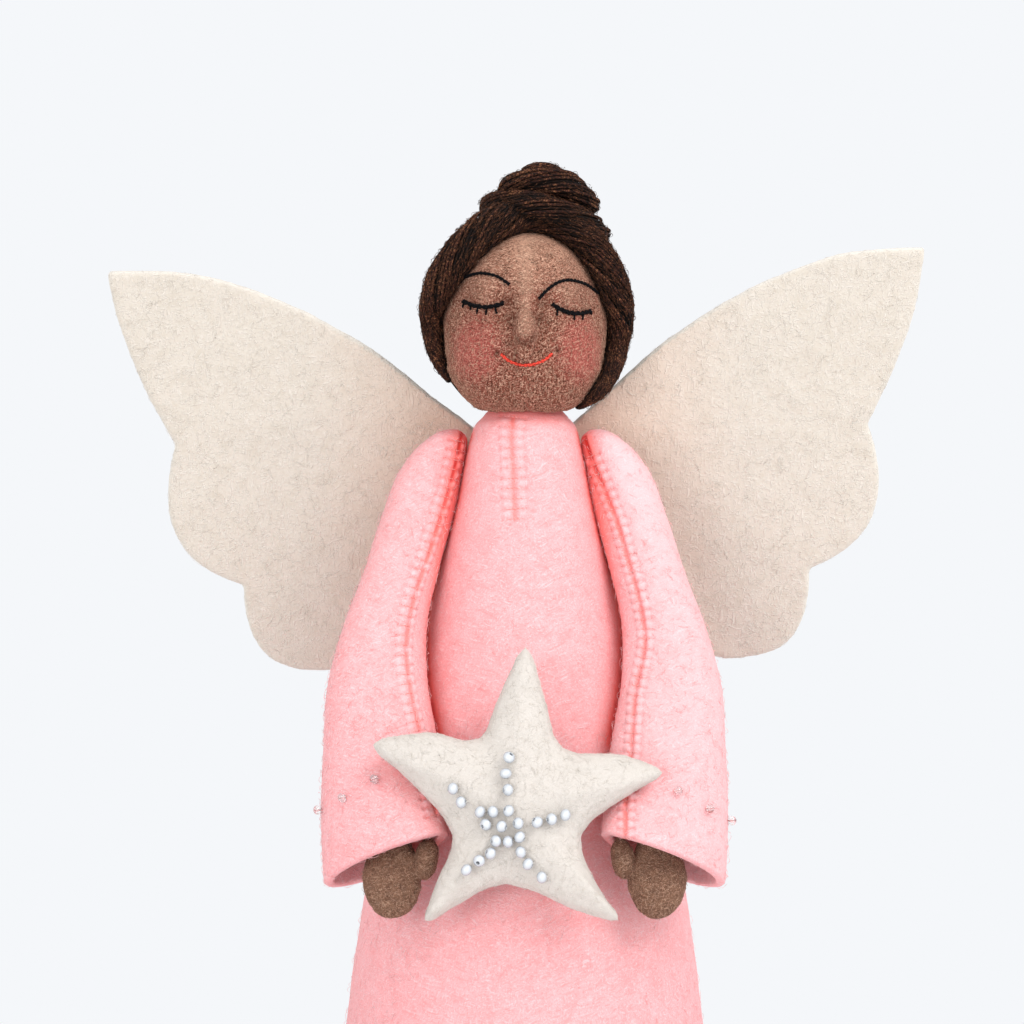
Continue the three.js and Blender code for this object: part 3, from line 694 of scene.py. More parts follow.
def stitches_across(skin, pixels, pitch, left, right):
    """Short lines across a seam, one every pitch along it, as points on a surface with their normals."""
    run = np.linalg.norm(np.diff(np.array(pixels, float), axis=0), axis=1).sum() * PIXEL_SIZE
    spots = smooth_path(pixels, int(run / pitch))
    heading = unit(np.gradient(spots, axis=0))
    aside = np.stack([-heading[:, 1], heading[:, 0]], axis=1)
    steps = np.linspace(left, -right, STITCH_POINTS)[:, None] / PIXEL_SIZE
    found = [drop_on(skin, spot + steps * across) for spot, across in zip(spots, aside)]
    return [(points, normals) for points, normals in found if len(points) == STITCH_POINTS]


def sew(name, piece, pixels, pitch, left, right, thread, body):
    """Press a row of stitches into a piece and lay the thread. Gives the dents, puffs and ends."""
    found = stitches_across(skin_of(piece), pixels, pitch, left, right)
    dents = np.array([points for points, _ in found])
    puffs = ((dents[1:] + dents[:-1]) / 2)[:, [1, -2]].reshape(-1, 3)
    ends = dents[:, [0, -1]].reshape(-1, 3)
    press_line(piece, dents.reshape(-1, 3), DENT, DENT_REACH)
    press_line(piece, puffs, -PUFF, PUFF_REACH)
    press_line(piece, ends, DENT, DENT_REACH)
    sunk = 3 * np.abs(STITCH_STATIONS[:, None]) ** 3 - 0.6
    lines, holes = [], []
    for points, normals in stitches_across(skin_of(piece), pixels, pitch, left, right):
        lines.append(points - normals * sunk * STITCH_THREAD)
        for end in (0, -1):
            holes.append(points[end] + normals[end] * np.linspace(0.03 * MM, -0.4 * MM, 4)[:, None])
    settle(lay_tubes(f"{name}_stitches", lines, STITCH_THREAD), thread, body, "pink_felt")
    # Dark tubes in the needle holes as painted shade.
    settle(lay_tubes(f"{name}_needle_hole_painted_shade", holes, NEEDLE_HOLE), painted_hole_shade_felt, body, "pink_felt")
    return {"dents": dents.reshape(-1, 3), "puffs": puffs, "ends": ends}


def stitch_painted_shading(piece, line, stitches):
    """Painted shade broken along a seam, in the dents where its stitches pull and at their ends, and painted
    light on the puffs between them.
    """
    broken = line[np.arange(len(line)) // 9 % 4 != 3]
    painted_shading = 0.75 * closeness(piece, stitches["puffs"], 0.75 * MM)
    painted_shading -= 1.15 * closeness(piece, broken, 0.6 * MM)
    painted_shading -= 0.65 * closeness(piece, stitches["dents"], 0.3 * MM)
    return painted_shading - 0.6 * closeness(piece, stitches["ends"], 0.4 * MM)


# %% [markdown]
# ## Dress
# On the real angel one piece of 3 mm felt is rolled into a cone and sewn up the back, and a short dart
# gathers it to the neck in front. It could be spun from a profile; here a circle at the hem is extruded
# upwards ring by ring and drawn in at each step, which is how a potter or a knitter thinks of it.

# %% Dress: rings from the hem to the neck
DRESS_OUTLINE_SHARES = [(1, 0), (0.916, 0.19), (0.85, 0.325), (0.78, 0.417), (0.608, 0.617), (0.515, 0.714),
                        (0.43, 0.801), (0.352, 0.879), (0.273, 0.966), (0.22, 0.9864), (0.169, 1)]
FELT = 3 * MM
LOW_RINGS, SEWN_RINGS = 40, 48
SEWN_FROM_SHARE = 0.78
DRESS_SIDES = 112
OUTLINE_STEPS = 1000
hem_radius, _, dress_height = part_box("dress_shell")[1]


def start_circle(name, sides, radius):
    """An open ring of edges on the ground."""
    bpy.ops.object.select_all(action="DESELECT")
    bpy.ops.mesh.primitive_circle_add(vertices=sides, radius=radius, fill_type="NOTHING")
    piece = bpy.context.object
    piece.name = name
    return piece


def extruded_rings(name, outline, sides):
    """Circle at the foot, extruded and drawn in from ring to ring."""
    piece = start_circle(name, sides, outline[0][0])
    with edit_mode(piece):
        for (r0, z0), (r1, z1) in zip(outline, outline[1:]):
            bpy.ops.mesh.extrude_region_move(TRANSFORM_OT_translate={"value": (0, 0, z1 - z0)})
            bpy.ops.transform.resize(value=(r1 / r0, r1 / r0, 1))
        bpy.ops.mesh.select_all(action="SELECT")
        bpy.ops.mesh.normals_make_consistent(inside=False)
    return piece


ring_shares = np.concatenate([np.linspace(0, SEWN_FROM_SHARE, LOW_RINGS, endpoint=False),
                              np.linspace(SEWN_FROM_SHARE, 1, SEWN_RINGS)])
drawn_outline = np.array(DRESS_OUTLINE_SHARES) * (hem_radius, dress_height)
fine_outline = smooth_path(drawn_outline, OUTLINE_STEPS + 1)
dress_outline = fine_outline[np.round(ring_shares * OUTLINE_STEPS).astype(int)]
dress = extruded_rings("dress", dress_outline, DRESS_SIDES)
modify(dress, "SOLIDIFY", thickness=FELT, offset=-1)
modify(dress, "BEVEL", width=0.5 * MM, segments=2, limit_method="ANGLE")
modify(dress, "SUBSURF", levels=1, render_levels=1)
shade_smooth(dress)
print("dress stands", round(dress_height / MM, 1), "mm tall")

# %% [markdown]
# The dart and the back seam are sewn from outside, so the thread pulls a groove into the felt and the
# felt swells beside it. The grooves are pressed into the points along a line found on the dress itself.

# %% Dress: dart and back seam
DART = [(513, 417), (511, 440), (513, 470), (514, 500), (515, 519)]
DART_PITCH = 2.5 * MM
DART_REACH = 3.3 * MM
BACK_SEAM_SHARES = (0.02, 0.95)


def back_seam_points(count, aside=0.0):
    """Points up the back of the dress, shifted sideways by a distance."""
    heights = np.linspace(*BACK_SEAM_SHARES, count) * dress_height
    radii = np.interp(heights, dress_outline[:, 1], dress_outline[:, 0])
    return np.stack([np.full(count, aside), radii, heights], axis=1)


def keep_off_floor(piece):
    write_points(piece, np.maximum(read_points(piece), (-1, -1, 0)))


dent_at_random(dress, 12 * MM, 0.35 * MM)
dart_line = drop_on(skin_of(dress), smooth_path(DART, 240))[0]
press_line(dress, dart_line, 0.28 * MM, 0.9 * MM, swell=0.1 * MM)
back_line = back_seam_points(600)
press_line(dress, back_line, 0.8 * MM, 1.5 * MM, swell=0.3 * MM)
settle(dress, pink_felt, "root", "pink_felt", "dress_shell")
dart_stitches = sew("dart", dress, DART, DART_PITCH, DART_REACH, DART_REACH, pink_thread, "root")

# %% Dress: whip stitches up the back
BACK_PITCH = 4 * MM
WHIP_REACH = 2 * MM
back_count = int(0.93 * dress_height / BACK_PITCH)
back_skin = skin_of(dress)
left_ends = back_seam_points(back_count, WHIP_REACH)
right_ends = back_seam_points(back_count, -WHIP_REACH) + (0, 0, BACK_PITCH / 2)
sunk = 1.6 * np.abs(STITCH_STATIONS) ** 3 - 0.5
whips = []
for left, right in zip(left_ends, right_ends):
    whip = []
    for spot, depth in zip(np.linspace(left, right, STITCH_POINTS), sunk):
        place, normal = back_skin.find_nearest(Vector(spot))[:2]
        whip.append(np.array(place - normal * depth * STITCH_THREAD))
    whips.append(whip)
settle(lay_tubes("back_seam_stitches", whips, STITCH_THREAD), pink_thread, "root", "pink_felt")
keep_off_floor(dress)

# %% [markdown]
# ## Sleeves
# Each sleeve is a bell of 2.6 mm felt that hangs from the shoulder and is open at the cuff. It leans
# forward and turns inward, so its rings follow the same stations as the CAD solid. The seam runs down
# the inner front edge, where two layers of felt meet and pinch.

# %% Sleeves: rings from the shoulder to the cuff
ARMS_SHIFT = -0.2 * MM
CUFF_HALF_WIDTH = 18.7 * MM
SLEEVE_HALF_DEPTH = 12.5 * MM
SLEEVE_LENGTH = 113 * MM
SHOULDER_INSET = 6.4 * MM
SLEEVE_WALL = 2.6 * MM
CUFF_TURN, CUFF_RISE, CUFF_PITCH = (math.radians(angle) for angle in (24, 24, 10))
SEAM_PINCH_SHARE = 0.16
SLEEVE_SIDES = 80
SLEEVE_RINGS = 116
SEAM_ANGLE = math.radians(45)
SEAM_CROWDING = 0.5
LIP = 1.1 * MM
LIP_SHARES = [(0, 0), (0.15, 0), (0.35, 1), (0.85, 1), (0.95, 0.6), (1, 0)]
# Height, bearing from the front, standoff from the dress, half width, half depth, turn, slant
SLEEVE_STATION_SHARES = [
    (1.004, 1, 0.47, 0.02, 0.04, 0, 0), (1.001, 1, 0.47, 0.12, 0.2, 0, 0), (0.985, 1, 0.48, 0.26, 0.42, 0, 0),
    (0.95, 0.988, 0.6, 0.37, 0.57, 0, 0), (0.887, 0.9629, 0.73, 0.45, 0.72, 0.125, 0),
    (0.789, 0.9101, 0.7858, 0.49, 0.81, 0.33, 0),
    (0.672, 0.8167, 0.9083, 0.5, 0.84, 0.5, 0), (0.547, 0.7586, 1.0664, 0.56, 0.9, 0.66, 0.02),
    (0.403, 0.6777, 1.126, 0.69, 0.97, 0.83, 0.05), (0.269, 0.5942, 1.057, 0.81, 1, 0.92, 0.12),
    (0.155, 0.5225, 1.1095, 0.9, 1, 1, 0.35), (0, 0.4525, 1.1425, 1, 0.96, 1, 1)]
shoulder_height = dress_height - SHOULDER_INSET
cuff_height = shoulder_height - SLEEVE_LENGTH


def dress_radius(height):
    return np.interp(height, *drawn_outline[:, ::-1].T)


def sleeve_ring(shares, side, angles):
    """Points of one ring. Angle 0 is the inner edge, where the seam is."""
    height, bearing, standoff, width, depth, turn, slant = shares
    yaw, rise, pitch = CUFF_TURN * turn, CUFF_RISE * slant, CUFF_PITCH * slant
    inwards = np.array((-side * math.cos(yaw), -math.sin(yaw), math.tan(rise))) * math.cos(rise)
    forwards = np.array((side * math.sin(yaw), -math.cos(yaw), math.tan(pitch))) * math.cos(pitch)
    level = cuff_height + height * SLEEVE_LENGTH
    away = dress_radius(level) + standoff * SLEEVE_HALF_DEPTH
    spread, reach = away * math.sin(bearing * math.pi / 2), away * math.cos(bearing * math.pi / 2)
    lip = LIP * np.interp(height, *np.transpose(LIP_SHARES))
    across = width * CUFF_HALF_WIDTH * np.cos(angles) + lip * np.maximum(np.cos(angles), 0) ** 2
    through = depth * SLEEVE_HALF_DEPTH * np.sin(angles) * (1 - SEAM_PINCH_SHARE * np.cos(angles))
    middle = np.array((side * spread + ARMS_SHIFT, -reach, level))
    return middle + across[:, None] * inwards + through[:, None] * forwards


def sleeve_rings(side):
    stations = smooth_path(SLEEVE_STATION_SHARES, SLEEVE_RINGS)[::-1]
    even = np.arange(SLEEVE_SIDES) * FULL_TURN / SLEEVE_SIDES
    angles = even - SEAM_CROWDING * np.sin(even - SEAM_ANGLE)
    return [sleeve_ring(shares, side, angles) for shares in stations]


def make_sleeve(name, side):
    """A circle at the cuff, extruded up to the shoulder and set to each ring's points in turn."""
    rings = sleeve_rings(side)
    piece = start_circle(f"{name}_sleeve_felt", SLEEVE_SIDES, CUFF_HALF_WIDTH)
    with edit_mode(piece):
        for _ in rings[1:]:
            bpy.ops.mesh.extrude_region_move(TRANSFORM_OT_translate={"value": (0, 0, MM)})
        bpy.ops.mesh.edge_face_add()
    write_points(piece, np.vstack(rings))
    with edit_mode(piece):
        bpy.ops.mesh.normals_make_consistent(inside=False)
    modify(piece, "SOLIDIFY", thickness=SLEEVE_WALL, offset=-1, use_even_offset=True, material_offset_rim=1)
    modify(piece, "SUBSURF", levels=1, render_levels=1)
    shade_smooth(piece)
    return piece


sleeves = {}
for name, side in SIDES.items():
    sleeve = make_sleeve(name, side)
    sleeves[name] = settle(sleeve, pink_felt, "arms", "pink_felt", f"{name}_sleeve", rim=pink_edge)

# %% [markdown]
# The seam is traced from the photograph as a row of pixels, dropped on to the sleeve, and pressed in. On
# the left sleeve the stitches reach further to the outer side, and on the right one they are even.

# %% Sleeve seams
SEAMS = {
    "left": [(462, 432), (456, 462), (446, 500), (431, 548), (414, 600), (407, 640), (408, 670), (413, 700),
             (419, 727), (427, 770), (437, 815)],
    "right": [(585, 438), (593, 462), (602, 483), (617, 522), (626, 553), (639, 600), (645, 640), (640, 670),
              (635, 696), (631, 752), (626, 800), (625, 838)]}
SEAM_PITCH = 2.5 * MM
SEAM_REACHES = {"left": (3.0 * MM, 1.6 * MM), "right": (2.2 * MM, 2.3 * MM)}
seam_lines, seam_stitches = {}, {}
for name, sleeve in sleeves.items():
    seam_lines[name] = drop_on(skin_of(sleeve), smooth_path(SEAMS[name], 500))[0]
    press_line(sleeve, seam_lines[name], 0.4 * MM, 0.7 * MM, swell=0.15 * MM)
    seam_stitches[name] = sew(f"{name}_seam", sleeve, SEAMS[name], SEAM_PITCH, *SEAM_REACHES[name],
                              pink_thread, "arms")

# %% [markdown]
# ## Wings
# The wings are cut from a stiffer 3.2 mm felt, cream instead of pink, with a scalloped lower edge. The
# CAD outline is already the cut shape, so a copy is remeshed finely and smoothed a little, which rounds
# the cut edge as felt does, and low waves keep it from looking like board.

# %% Wings
wings = {}
for name in SIDES:
    wing = felted(f"{name}_wing", f"{name}_wing_felt", 0.75 * MM, 8, 12 * MM, 0.3 * MM)
    wings[name] = settle(wing, cream_felt, f"{name}_wing", "cream_felt", f"{name}_wing")

# %% [markdown]
# A row of slanting stitches in cream wool holds each wing to the back. They sit on the wing close to its
# root, so they turn with it when it folds.

# %% Wing stitches
WING_STITCHES = 10
WING_THREAD = 0.24 * MM
WING_INSET, WING_STITCH_REACH = 1 * MM, 3.5 * MM
WING_STITCH_RISE = 1 * MM
WING_MARGIN = 3 * MM
BEHIND = 0.2
for name, wing in wings.items():
    rows, skin = read_points(wing), skin_of(wing)
    inner = np.abs(rows[:, 0]).min()
    root_heights = rows[np.abs(rows[:, 0]) < inner + 1.5 * MM][:, 2]
    lines = []
    low, high = root_heights.min() + WING_MARGIN, root_heights.max() - WING_MARGIN
    for height in np.linspace(low, high, WING_STITCHES):
        line = []
        for station in STITCH_STATIONS:
            reach = inner + WING_INSET + WING_STITCH_REACH * (1 + station) / 2
            start = Vector((SIDES[name] * reach, BEHIND, height + WING_STITCH_RISE * station))
            place, normal, _, _ = skin.ray_cast(start, Vector((0, -1, 0)))
            if place is not None:
                line.append(np.array(place + normal * WING_THREAD * (0.6 - 2 * abs(station) ** 3)))
        if len(line) == STITCH_POINTS:
            lines.append(line)
    settle(lay_tubes(f"{name}_wing_stitches", lines, WING_THREAD), cream_thread, f"{name}_wing", "cream_felt")

# %% [markdown]
# ## Star and hands
# The star and the mittens are needle-felted: loose wool is rolled up and stabbed with a barbed needle
# until it holds. That leaves no edges at all, only swells, so both start from the CAD solids and are
# remeshed and smoothed until they look felted.

# %% Star and hands
star = felted("star", "star_wool", 0.55 * MM, 10, 7 * MM, 0.35 * MM)
settle(star, white_wool, "arms", "white_wool", "star")
hands = {}
for name in SIDES:
    hand = felted(f"{name}_hand", f"{name}_mitten", 0.4 * MM, 8, 3.5 * MM, 0.25 * MM)
    hands[name] = settle(hand, hand_wool, "arms", "skin_wool", f"{name}_hand")

# %% [markdown]
# ## Head
# The head is a hard ball of brown wool. The nose is an extra tuft, the eyelids and cheeks are small
# swellings, and the face is sewn on afterwards. Each swelling is placed by the pixel that it shows at and
# raised along the ball's own surface, as a felting needle raises it from outside.

# %% Head: ball, nose, eyelids and cheeks
HEAD_HALF_WIDTH, HEAD_HALF_HEIGHT = 22.4 * MM, 24.5 * MM
JAW_POWER = 2.8
NECK_REACH = 12 * MM
CHIN_SAG, CHIN_HALF_WIDTH = 1.9 * MM, 19 * MM
LEFT_BLUSH, RIGHT_BLUSH = (472, 350), (586, 351)
NOSE_ROOT, NOSE_TIP = (526, 290), (525, 333)
# Eyelids, cheeks, eye corners, sides of the nose, its tip and wings, the lip and the corners of the mouth
FACE_DABS = [((484, 291), 4.4, 1.2), ((568, 294), 4.4, 1.2), (LEFT_BLUSH, 6.5, 0.8),
             (RIGHT_BLUSH, 6.5, 0.8), ((509, 303), 2.6, -1.1), ((543, 305), 2.6, -1.1),
             ((507, 325), 2.0, -0.7), ((544, 325), 2.0, -0.7), ((525, 330), 3.0, 1.6), ((516, 333), 1.6, 0.7),
             ((535, 333), 1.6, 0.7), ((525, 345), 2.2, -1.4), ((496, 353), 1.0, -0.8),
             ((558, 351), 1.0, -0.8)]
head = felted("head", "head_wool", 0.45 * MM, 6)
head_centre = np.array((0, 0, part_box("head")[1].z - HEAD_HALF_HEIGHT))
rows = read_points(head)
shares = np.abs(rows - head_centre) / (HEAD_HALF_WIDTH, HEAD_HALF_WIDTH, HEAD_HALF_HEIGHT)
squarer = np.maximum((shares ** JAW_POWER).sum(axis=1) ** (1 / JAW_POWER), 1e-6)
fuller = np.linalg.norm(shares, axis=1) / squarer
jaw_share = fade(rows[:, 2], head_centre[2] - 2 * MM, head_centre[2] - 12 * MM)
jaw_share *= fade(rows[:, 1], 5 * MM, -4 * MM)
jaw_share *= fade(np.linalg.norm(rows[:, :2], axis=1), 0.6 * NECK_REACH, NECK_REACH)
rows += (rows - head_centre) * ((fuller - 1) * jaw_share)[:, None]
rows[:, 2] -= CHIN_SAG * np.clip(1 - (rows[:, 0] / CHIN_HALF_WIDTH) ** 2, 0, 1) * jaw_share
write_points(head, rows)
dab(head, FACE_DABS)
nose_ridge = drop_on(skin_of(head), np.linspace(NOSE_ROOT, NOSE_TIP, 40))[0]
press_line(head, nose_ridge, -1.0 * MM, 2.7 * MM)
dent_at_random(head, 4 * MM, 0.2 * MM)
head_skin = skin_of(head)
print("head centre", head_centre)

# %% [markdown]
# ## Skin
# The skin is heathered: light and dark fibres show side by side. The head is painted lighter above the brows
# than at the chin, as light from above falls on the forehead, and pink wool is needled into the cheeks with a
# soft edge, so its share of the colour falls off with the distance from the middle of each cheek.

# %% Skin wool
SKIN_FIBRE, SKIN_RUN = 0.15 * MM, 1.3 * MM
# Heights over which the painted light on the forehead fades in.
BROW_FOOT, BROW_TOP = 0.235, 0.25
BLUSH = "#A24D47"


def skin_shader(name, cheeks):
    """Heathered wool, with painted light on the forehead and pink on the cheeks."""
    material, tree = new_material(name)
    where = add(tree, "TexCoord").outputs["Object"]
    grain = add(tree, "TexNoise", {"Vector": where, "Scale": 1 / (0.7 * MM), "Detail": 3.0,
                                   "Roughness": 0.75})
    patches = add(tree, "TexNoise", {"Vector": where, "Scale": 1 / (6 * MM), "Detail": 2.0})
    height = add(tree, "SeparateXYZ", {0: where}).outputs["Z"]
    painted_forehead_light = add(tree, "MapRange", {"Value": height, "From Min": BROW_FOOT, "From Max": BROW_TOP})
    dark = add(tree, "MapRange", {"Value": patches, "From Min": 0.4, "From Max": 0.62, "To Min": 0.35,
                                  "To Max": 0.0})
    specks = add(tree, "MapRange", {"Value": grain, "From Min": 0.52, "From Max": 0.66, "To Max": 0.75})
    flushes = []
    for middle in cheeks:
        away = add(tree, "VectorMath", {0: where, 1: tuple(middle)}, operation="DISTANCE").outputs["Value"]
        flushes.append(add(tree, "MapRange", {
            "Value": away, "From Min": 3 * MM, "From Max": 12 * MM, "To Min": 0.75, "To Max": 0.0},
            interpolation_type="SMOOTHSTEP"))
    flush = add(tree, "Math", dict(enumerate(flushes)), operation="MAXIMUM")
    streaks = fibre_streaks(tree, where, SKIN_FIBRE, SKIN_RUN)
    light, shade, tint = (add(tree, "Math", {0: share, 1: most}, operation="MULTIPLY")
                          for share, most in zip((*streaks, flush), (0.72, 0.9, 0.45)))
    layers = [(painted_forehead_light, "#B98972"), (dark, "#744636"), (flush, BLUSH), (specks, "#5C3426"), (light, "#E2B79E"),
              (shade, "#341709"), (tint, BLUSH)]
    body = "#7E4538"
    for share, code in layers:
        body = add(tree, "Mix", {0: share, 6: body, 7: code}, data_type="RGBA").outputs[2]
    # Painted light and shade kept on the head.
    body = with_painted_shading(tree, body, "#D3AE94", "#472A1E", "#1E100A")
    wool_shader(tree, body, streaks[0], grain, "#C9A48C", SKIN_FIBRE)
    return material


cheek_middles = drop_on(head_skin, [LEFT_BLUSH, RIGHT_BLUSH])[0]
skin_wool = skin_shader("needle_felted_wool_skin", cheek_middles)
settle(head, skin_wool, "root", "skin_wool", "head")

# %% [markdown]
# ## Face
# Brows, closed eyes and mouth are stitched with thread, each laid as two plies winding round one line on
# the head's own surface. The wool is pressed in beside them and is darker there.

# %% Brows, eyes and mouth
BROWS = [[(459, 284), (468, 277), (482, 274), (497, 277), (510, 285)],
         [(538, 299), (547, 290), (560, 282), (572, 281), (586, 285), (598, 294)]]
EYES = [[(463, 301), (472, 305), (484, 307), (494, 306), (504, 303)],
        [(552, 304), (560, 309), (571, 313), (582, 313), (591, 311)]]
LASHES = [[(464, 303), (463, 308)], [(471, 306), (471, 310)], [(478, 307), (477, 314)],
          [(487, 308), (486, 315)], [(495, 307), (497, 314)], [(557, 308), (557, 316)],
          [(574, 313), (574, 320)], [(583, 314), (582, 320)], [(590, 311), (591, 315)]]
MOUTH = [(501, 354), (508, 360), (517, 364), (527, 365), (538, 363), (546, 359), (552, 353)]
# Name, lines, points on each, then its radius, how far it sinks and the radius of a ply in millimetres
FACE_THREADS = [("brow_thread", BROWS, 60, 0.38, 0.05, 0.28, black_thread),
                ("closed_eye_thread", EYES, 50, 0.5, 0.15, 0.37, black_thread),
                ("lash_thread", LASHES, 10, 0.26, 0.05, 0.18, black_thread),
                ("mouth_thread", [MOUTH], 90, 0.36, 0.1, 0.25, coral_thread)]
for eye in EYES:
    press_line(head, drop_on(head_skin, smooth_path(eye, 60))[0], 0.45 * MM, 1.1 * MM, swell=0.12 * MM)
press_line(head, drop_on(head_skin, smooth_path(MOUTH, 60))[0], 0.35 * MM, 0.9 * MM, swell=0.1 * MM)
head_skin = skin_of(head)
for name, drawn, count, radius, sink, ply, thread in FACE_THREADS:
    lines = [line for pixels in drawn for line in sewn_line(head_skin, pixels, count, radius * MM, sink * MM)]
    settle(lay_tubes(name, lines, ply * MM, centre=head_centre), thread, "root", "skin_wool")

# %% [markdown]
# ## Hair
# The hair is dark brown wool yarn. A thick roll of yarns, slightly twisted, frames the face on each side
# of the parting, and behind it yarns are laid side by side from the parting down to the nape. A thin
# dark wool cap lies under them, so that no skin shows between two yarns.

# %% Yarn material
YARN_TWIST = 3 * MM


def yarn_shader(name, body, dark, gold):
    """Plied wool yarn: painted shade between the plies, with dark specks and golden fibre ends at random."""
    material, tree = new_material(name)
    where = add(tree, "TexCoord").outputs["Object"]
    ply = plies(tree, YARN_TWIST, 0.2, low=0.15)
    flecks = add(tree, "TexNoise", {"Vector": where, "Scale": 1 / (0.55 * MM), "Detail": 3.0,
                                    "Roughness": 0.8})
    tufts = add(tree, "TexNoise", {"Vector": where, "Scale": 1 / (5 * MM), "Detail": 2.0})
    mixed = add(tree, "Math", {0: tufts, 1: 0.35, 2: flecks}, operation="MULTIPLY_ADD")
    gilt = add(tree, "MapRange", {"Value": mixed, "From Min": 0.73, "From Max": 0.86, "To Max": 0.8})
    pits = add(tree, "MapRange", {"Value": mixed, "From Min": 0.69, "From Max": 0.55, "To Max": 0.92})
    base = dark
    for share, code in ((ply, body), (pits, dark), (gilt, gold)):
        base = add(tree, "Mix", {0: share, 6: base, 7: code}, data_type="RGBA").outputs[2]
    # Painted shade kept on the hair, down to near black.
    base = with_painted_shading(tree, base, gold, dark, "#050302")
    rough = add(tree, "Math", {0: flecks, 1: 1.2, 2: ply}, operation="MULTIPLY_ADD")
    relief = add(tree, "Bump", {"Height": rough, "Distance": 0.15 * MM, "Strength": 0.9})
    surface = add(tree, "BsdfPrincipled", {
        "Base Color": base, "Roughness": 0.85, "Specular IOR Level": 0.2, "Normal": relief,
        "Sheen Weight": 0.05, "Sheen Roughness": 0.4, "Sheen Tint": "#8A6540"})
    add(tree, "OutputMaterial", {"Surface": surface})
    return material


hair_yarn = yarn_shader("plied_wool_yarn_dark_brown", "#3F1F16", "#070201", "#A8724E")

# %% Rolls that frame the face
YARN = 0.46 * MM
YARN_STRAY = 0.24 * MM
LEFT_HAIRLINE = [(543, 233), (520, 233), (503, 239), (480, 259), (462, 282), (446, 308), (442.5, 330),
                 (443, 350), (450, 381)]
RIGHT_HAIRLINE = [(543, 233), (554, 237), (567, 247), (584, 264), (598, 292), (606, 312), (608, 340),
                  (603, 365), (591, 389), (577, 407)]
# Side, hairline, radii of the roll in millimetres from the parting down, seed of its yarns
ROLLS = [("left", LEFT_HAIRLINE, [4.7, 4.7, 4.9, 4.9, 4.2, 3.1, 2.6, 1.0], 7),
         ("right", RIGHT_HAIRLINE, [4.6, 4.6, 4.6, 4.2, 3.5, 2.8, 2.2, 0.9], 8)]
ROLL_RINGS = [(1.0, 26), (0.72, 18)]
ROPE_TWIST = 60 * MM
HAIR_STEPS = 64
FACE_EDGE_Y = -1.5 * MM
ROLL_SINK_SHARE = 0.45


def face_edge(pixels, count):
    """The hairline dropped on the head. Past the ball's side it carries on at the widest place."""
    spots = []
    for column, row in smooth_path(pixels, count):
        sight = line_of_sight(column, row)
        hit = head_skin.ray_cast(EYE, sight)[0]
        at_side = EYE + sight * ((FACE_EDGE_Y - EYE.y) / sight.y)
        spots.append(hit if hit is not None else head_skin.find_nearest(at_side)[0])
    return np.array(spots)


def roll_middle(edge, reach):
    """Middle line of a roll that touches the hairline as seen from the front, and lies on the head."""
    outwards = unit((edge - head_centre) * (1, 0, 1))
    spots = edge + outwards * reach
    for spot, radius in zip(spots, reach[:, 0]):
        hit = head_skin.ray_cast(EYE, (Vector(spot) - EYE).normalized())[0]
        if hit is not None:
            spot[1] = hit.y - ROLL_SINK_SHARE * radius
    return smooth_path(spots[::7], len(edge))


def wander(line, middle, reach, rng):
    """A yarn that strays towards and away from the middle line of its bundle."""
    waves = np.sin(np.linspace(0, rng.uniform(8, 16), len(line)) + rng.uniform(0, FULL_TURN))
    stray = (rng.normal(0, YARN_STRAY) + YARN_STRAY * waves) / reach
    return middle + (line - middle) * (1 + stray[:, None])


def roll_round_face(name, pixels, radii, seed):
    """Yarns wound round the middle line of a roll. Gives the piece, the line and its reach."""
    rng = np.random.default_rng(seed)
    edge = face_edge(pixels, HAIR_STEPS)
    reach = np.interp(np.linspace(0, 1, HAIR_STEPS), np.linspace(0, 1, len(radii)), radii)[:, None] * MM
    middle = roll_middle(edge, reach)
    outwards = unit(middle - head_centre)
    lines = []
    for ring, count in ROLL_RINGS:
        radius = np.maximum(reach * ring - YARN, 0.15 * MM)
        for line in twist_round(middle, outwards, radius, count, ROPE_TWIST):
            lines.append(wander(line, middle, 4 * MM, rng))
    hair_yarns[name] = lines
    return lay_tubes(name, lines, YARN, sides=5, centre=head_centre), middle, reach[:, 0]


hair_yarns = {}
rolls = [roll_round_face(f"{name}_hair_roll", pixels, radii, seed) for name, pixels, radii, seed in ROLLS]
hair_rolls = [piece for piece, _, _ in rolls]
for name, piece in zip(SIDES, hair_rolls):
    settle(piece, hair_yarn, "root", "hair_yarn", f"hair_{name}")

# %% [markdown]
# Behind the rolls the yarns follow rows that are chosen on the head, from the parting to the nape. The rows
# in between are found by running a smooth curve across the chosen ones, and each yarn is then pushed out to
# the rounded shape of the whole head of hair.

# %% Combed yarns behind the rolls
HAIR_CENTRE = head_centre + np.array((1, 0, 2.4)) * MM
HAIR_REACH = np.array((27.4, 26.6, 28.6)) * MM
BUN_AXIS = np.array((4.4, 7)) * MM
BUN_REACH = 17.5 * MM
COMBED_STEPS = 44
COMBED_YARNS = 84
COMBED_YARN = 0.52 * MM
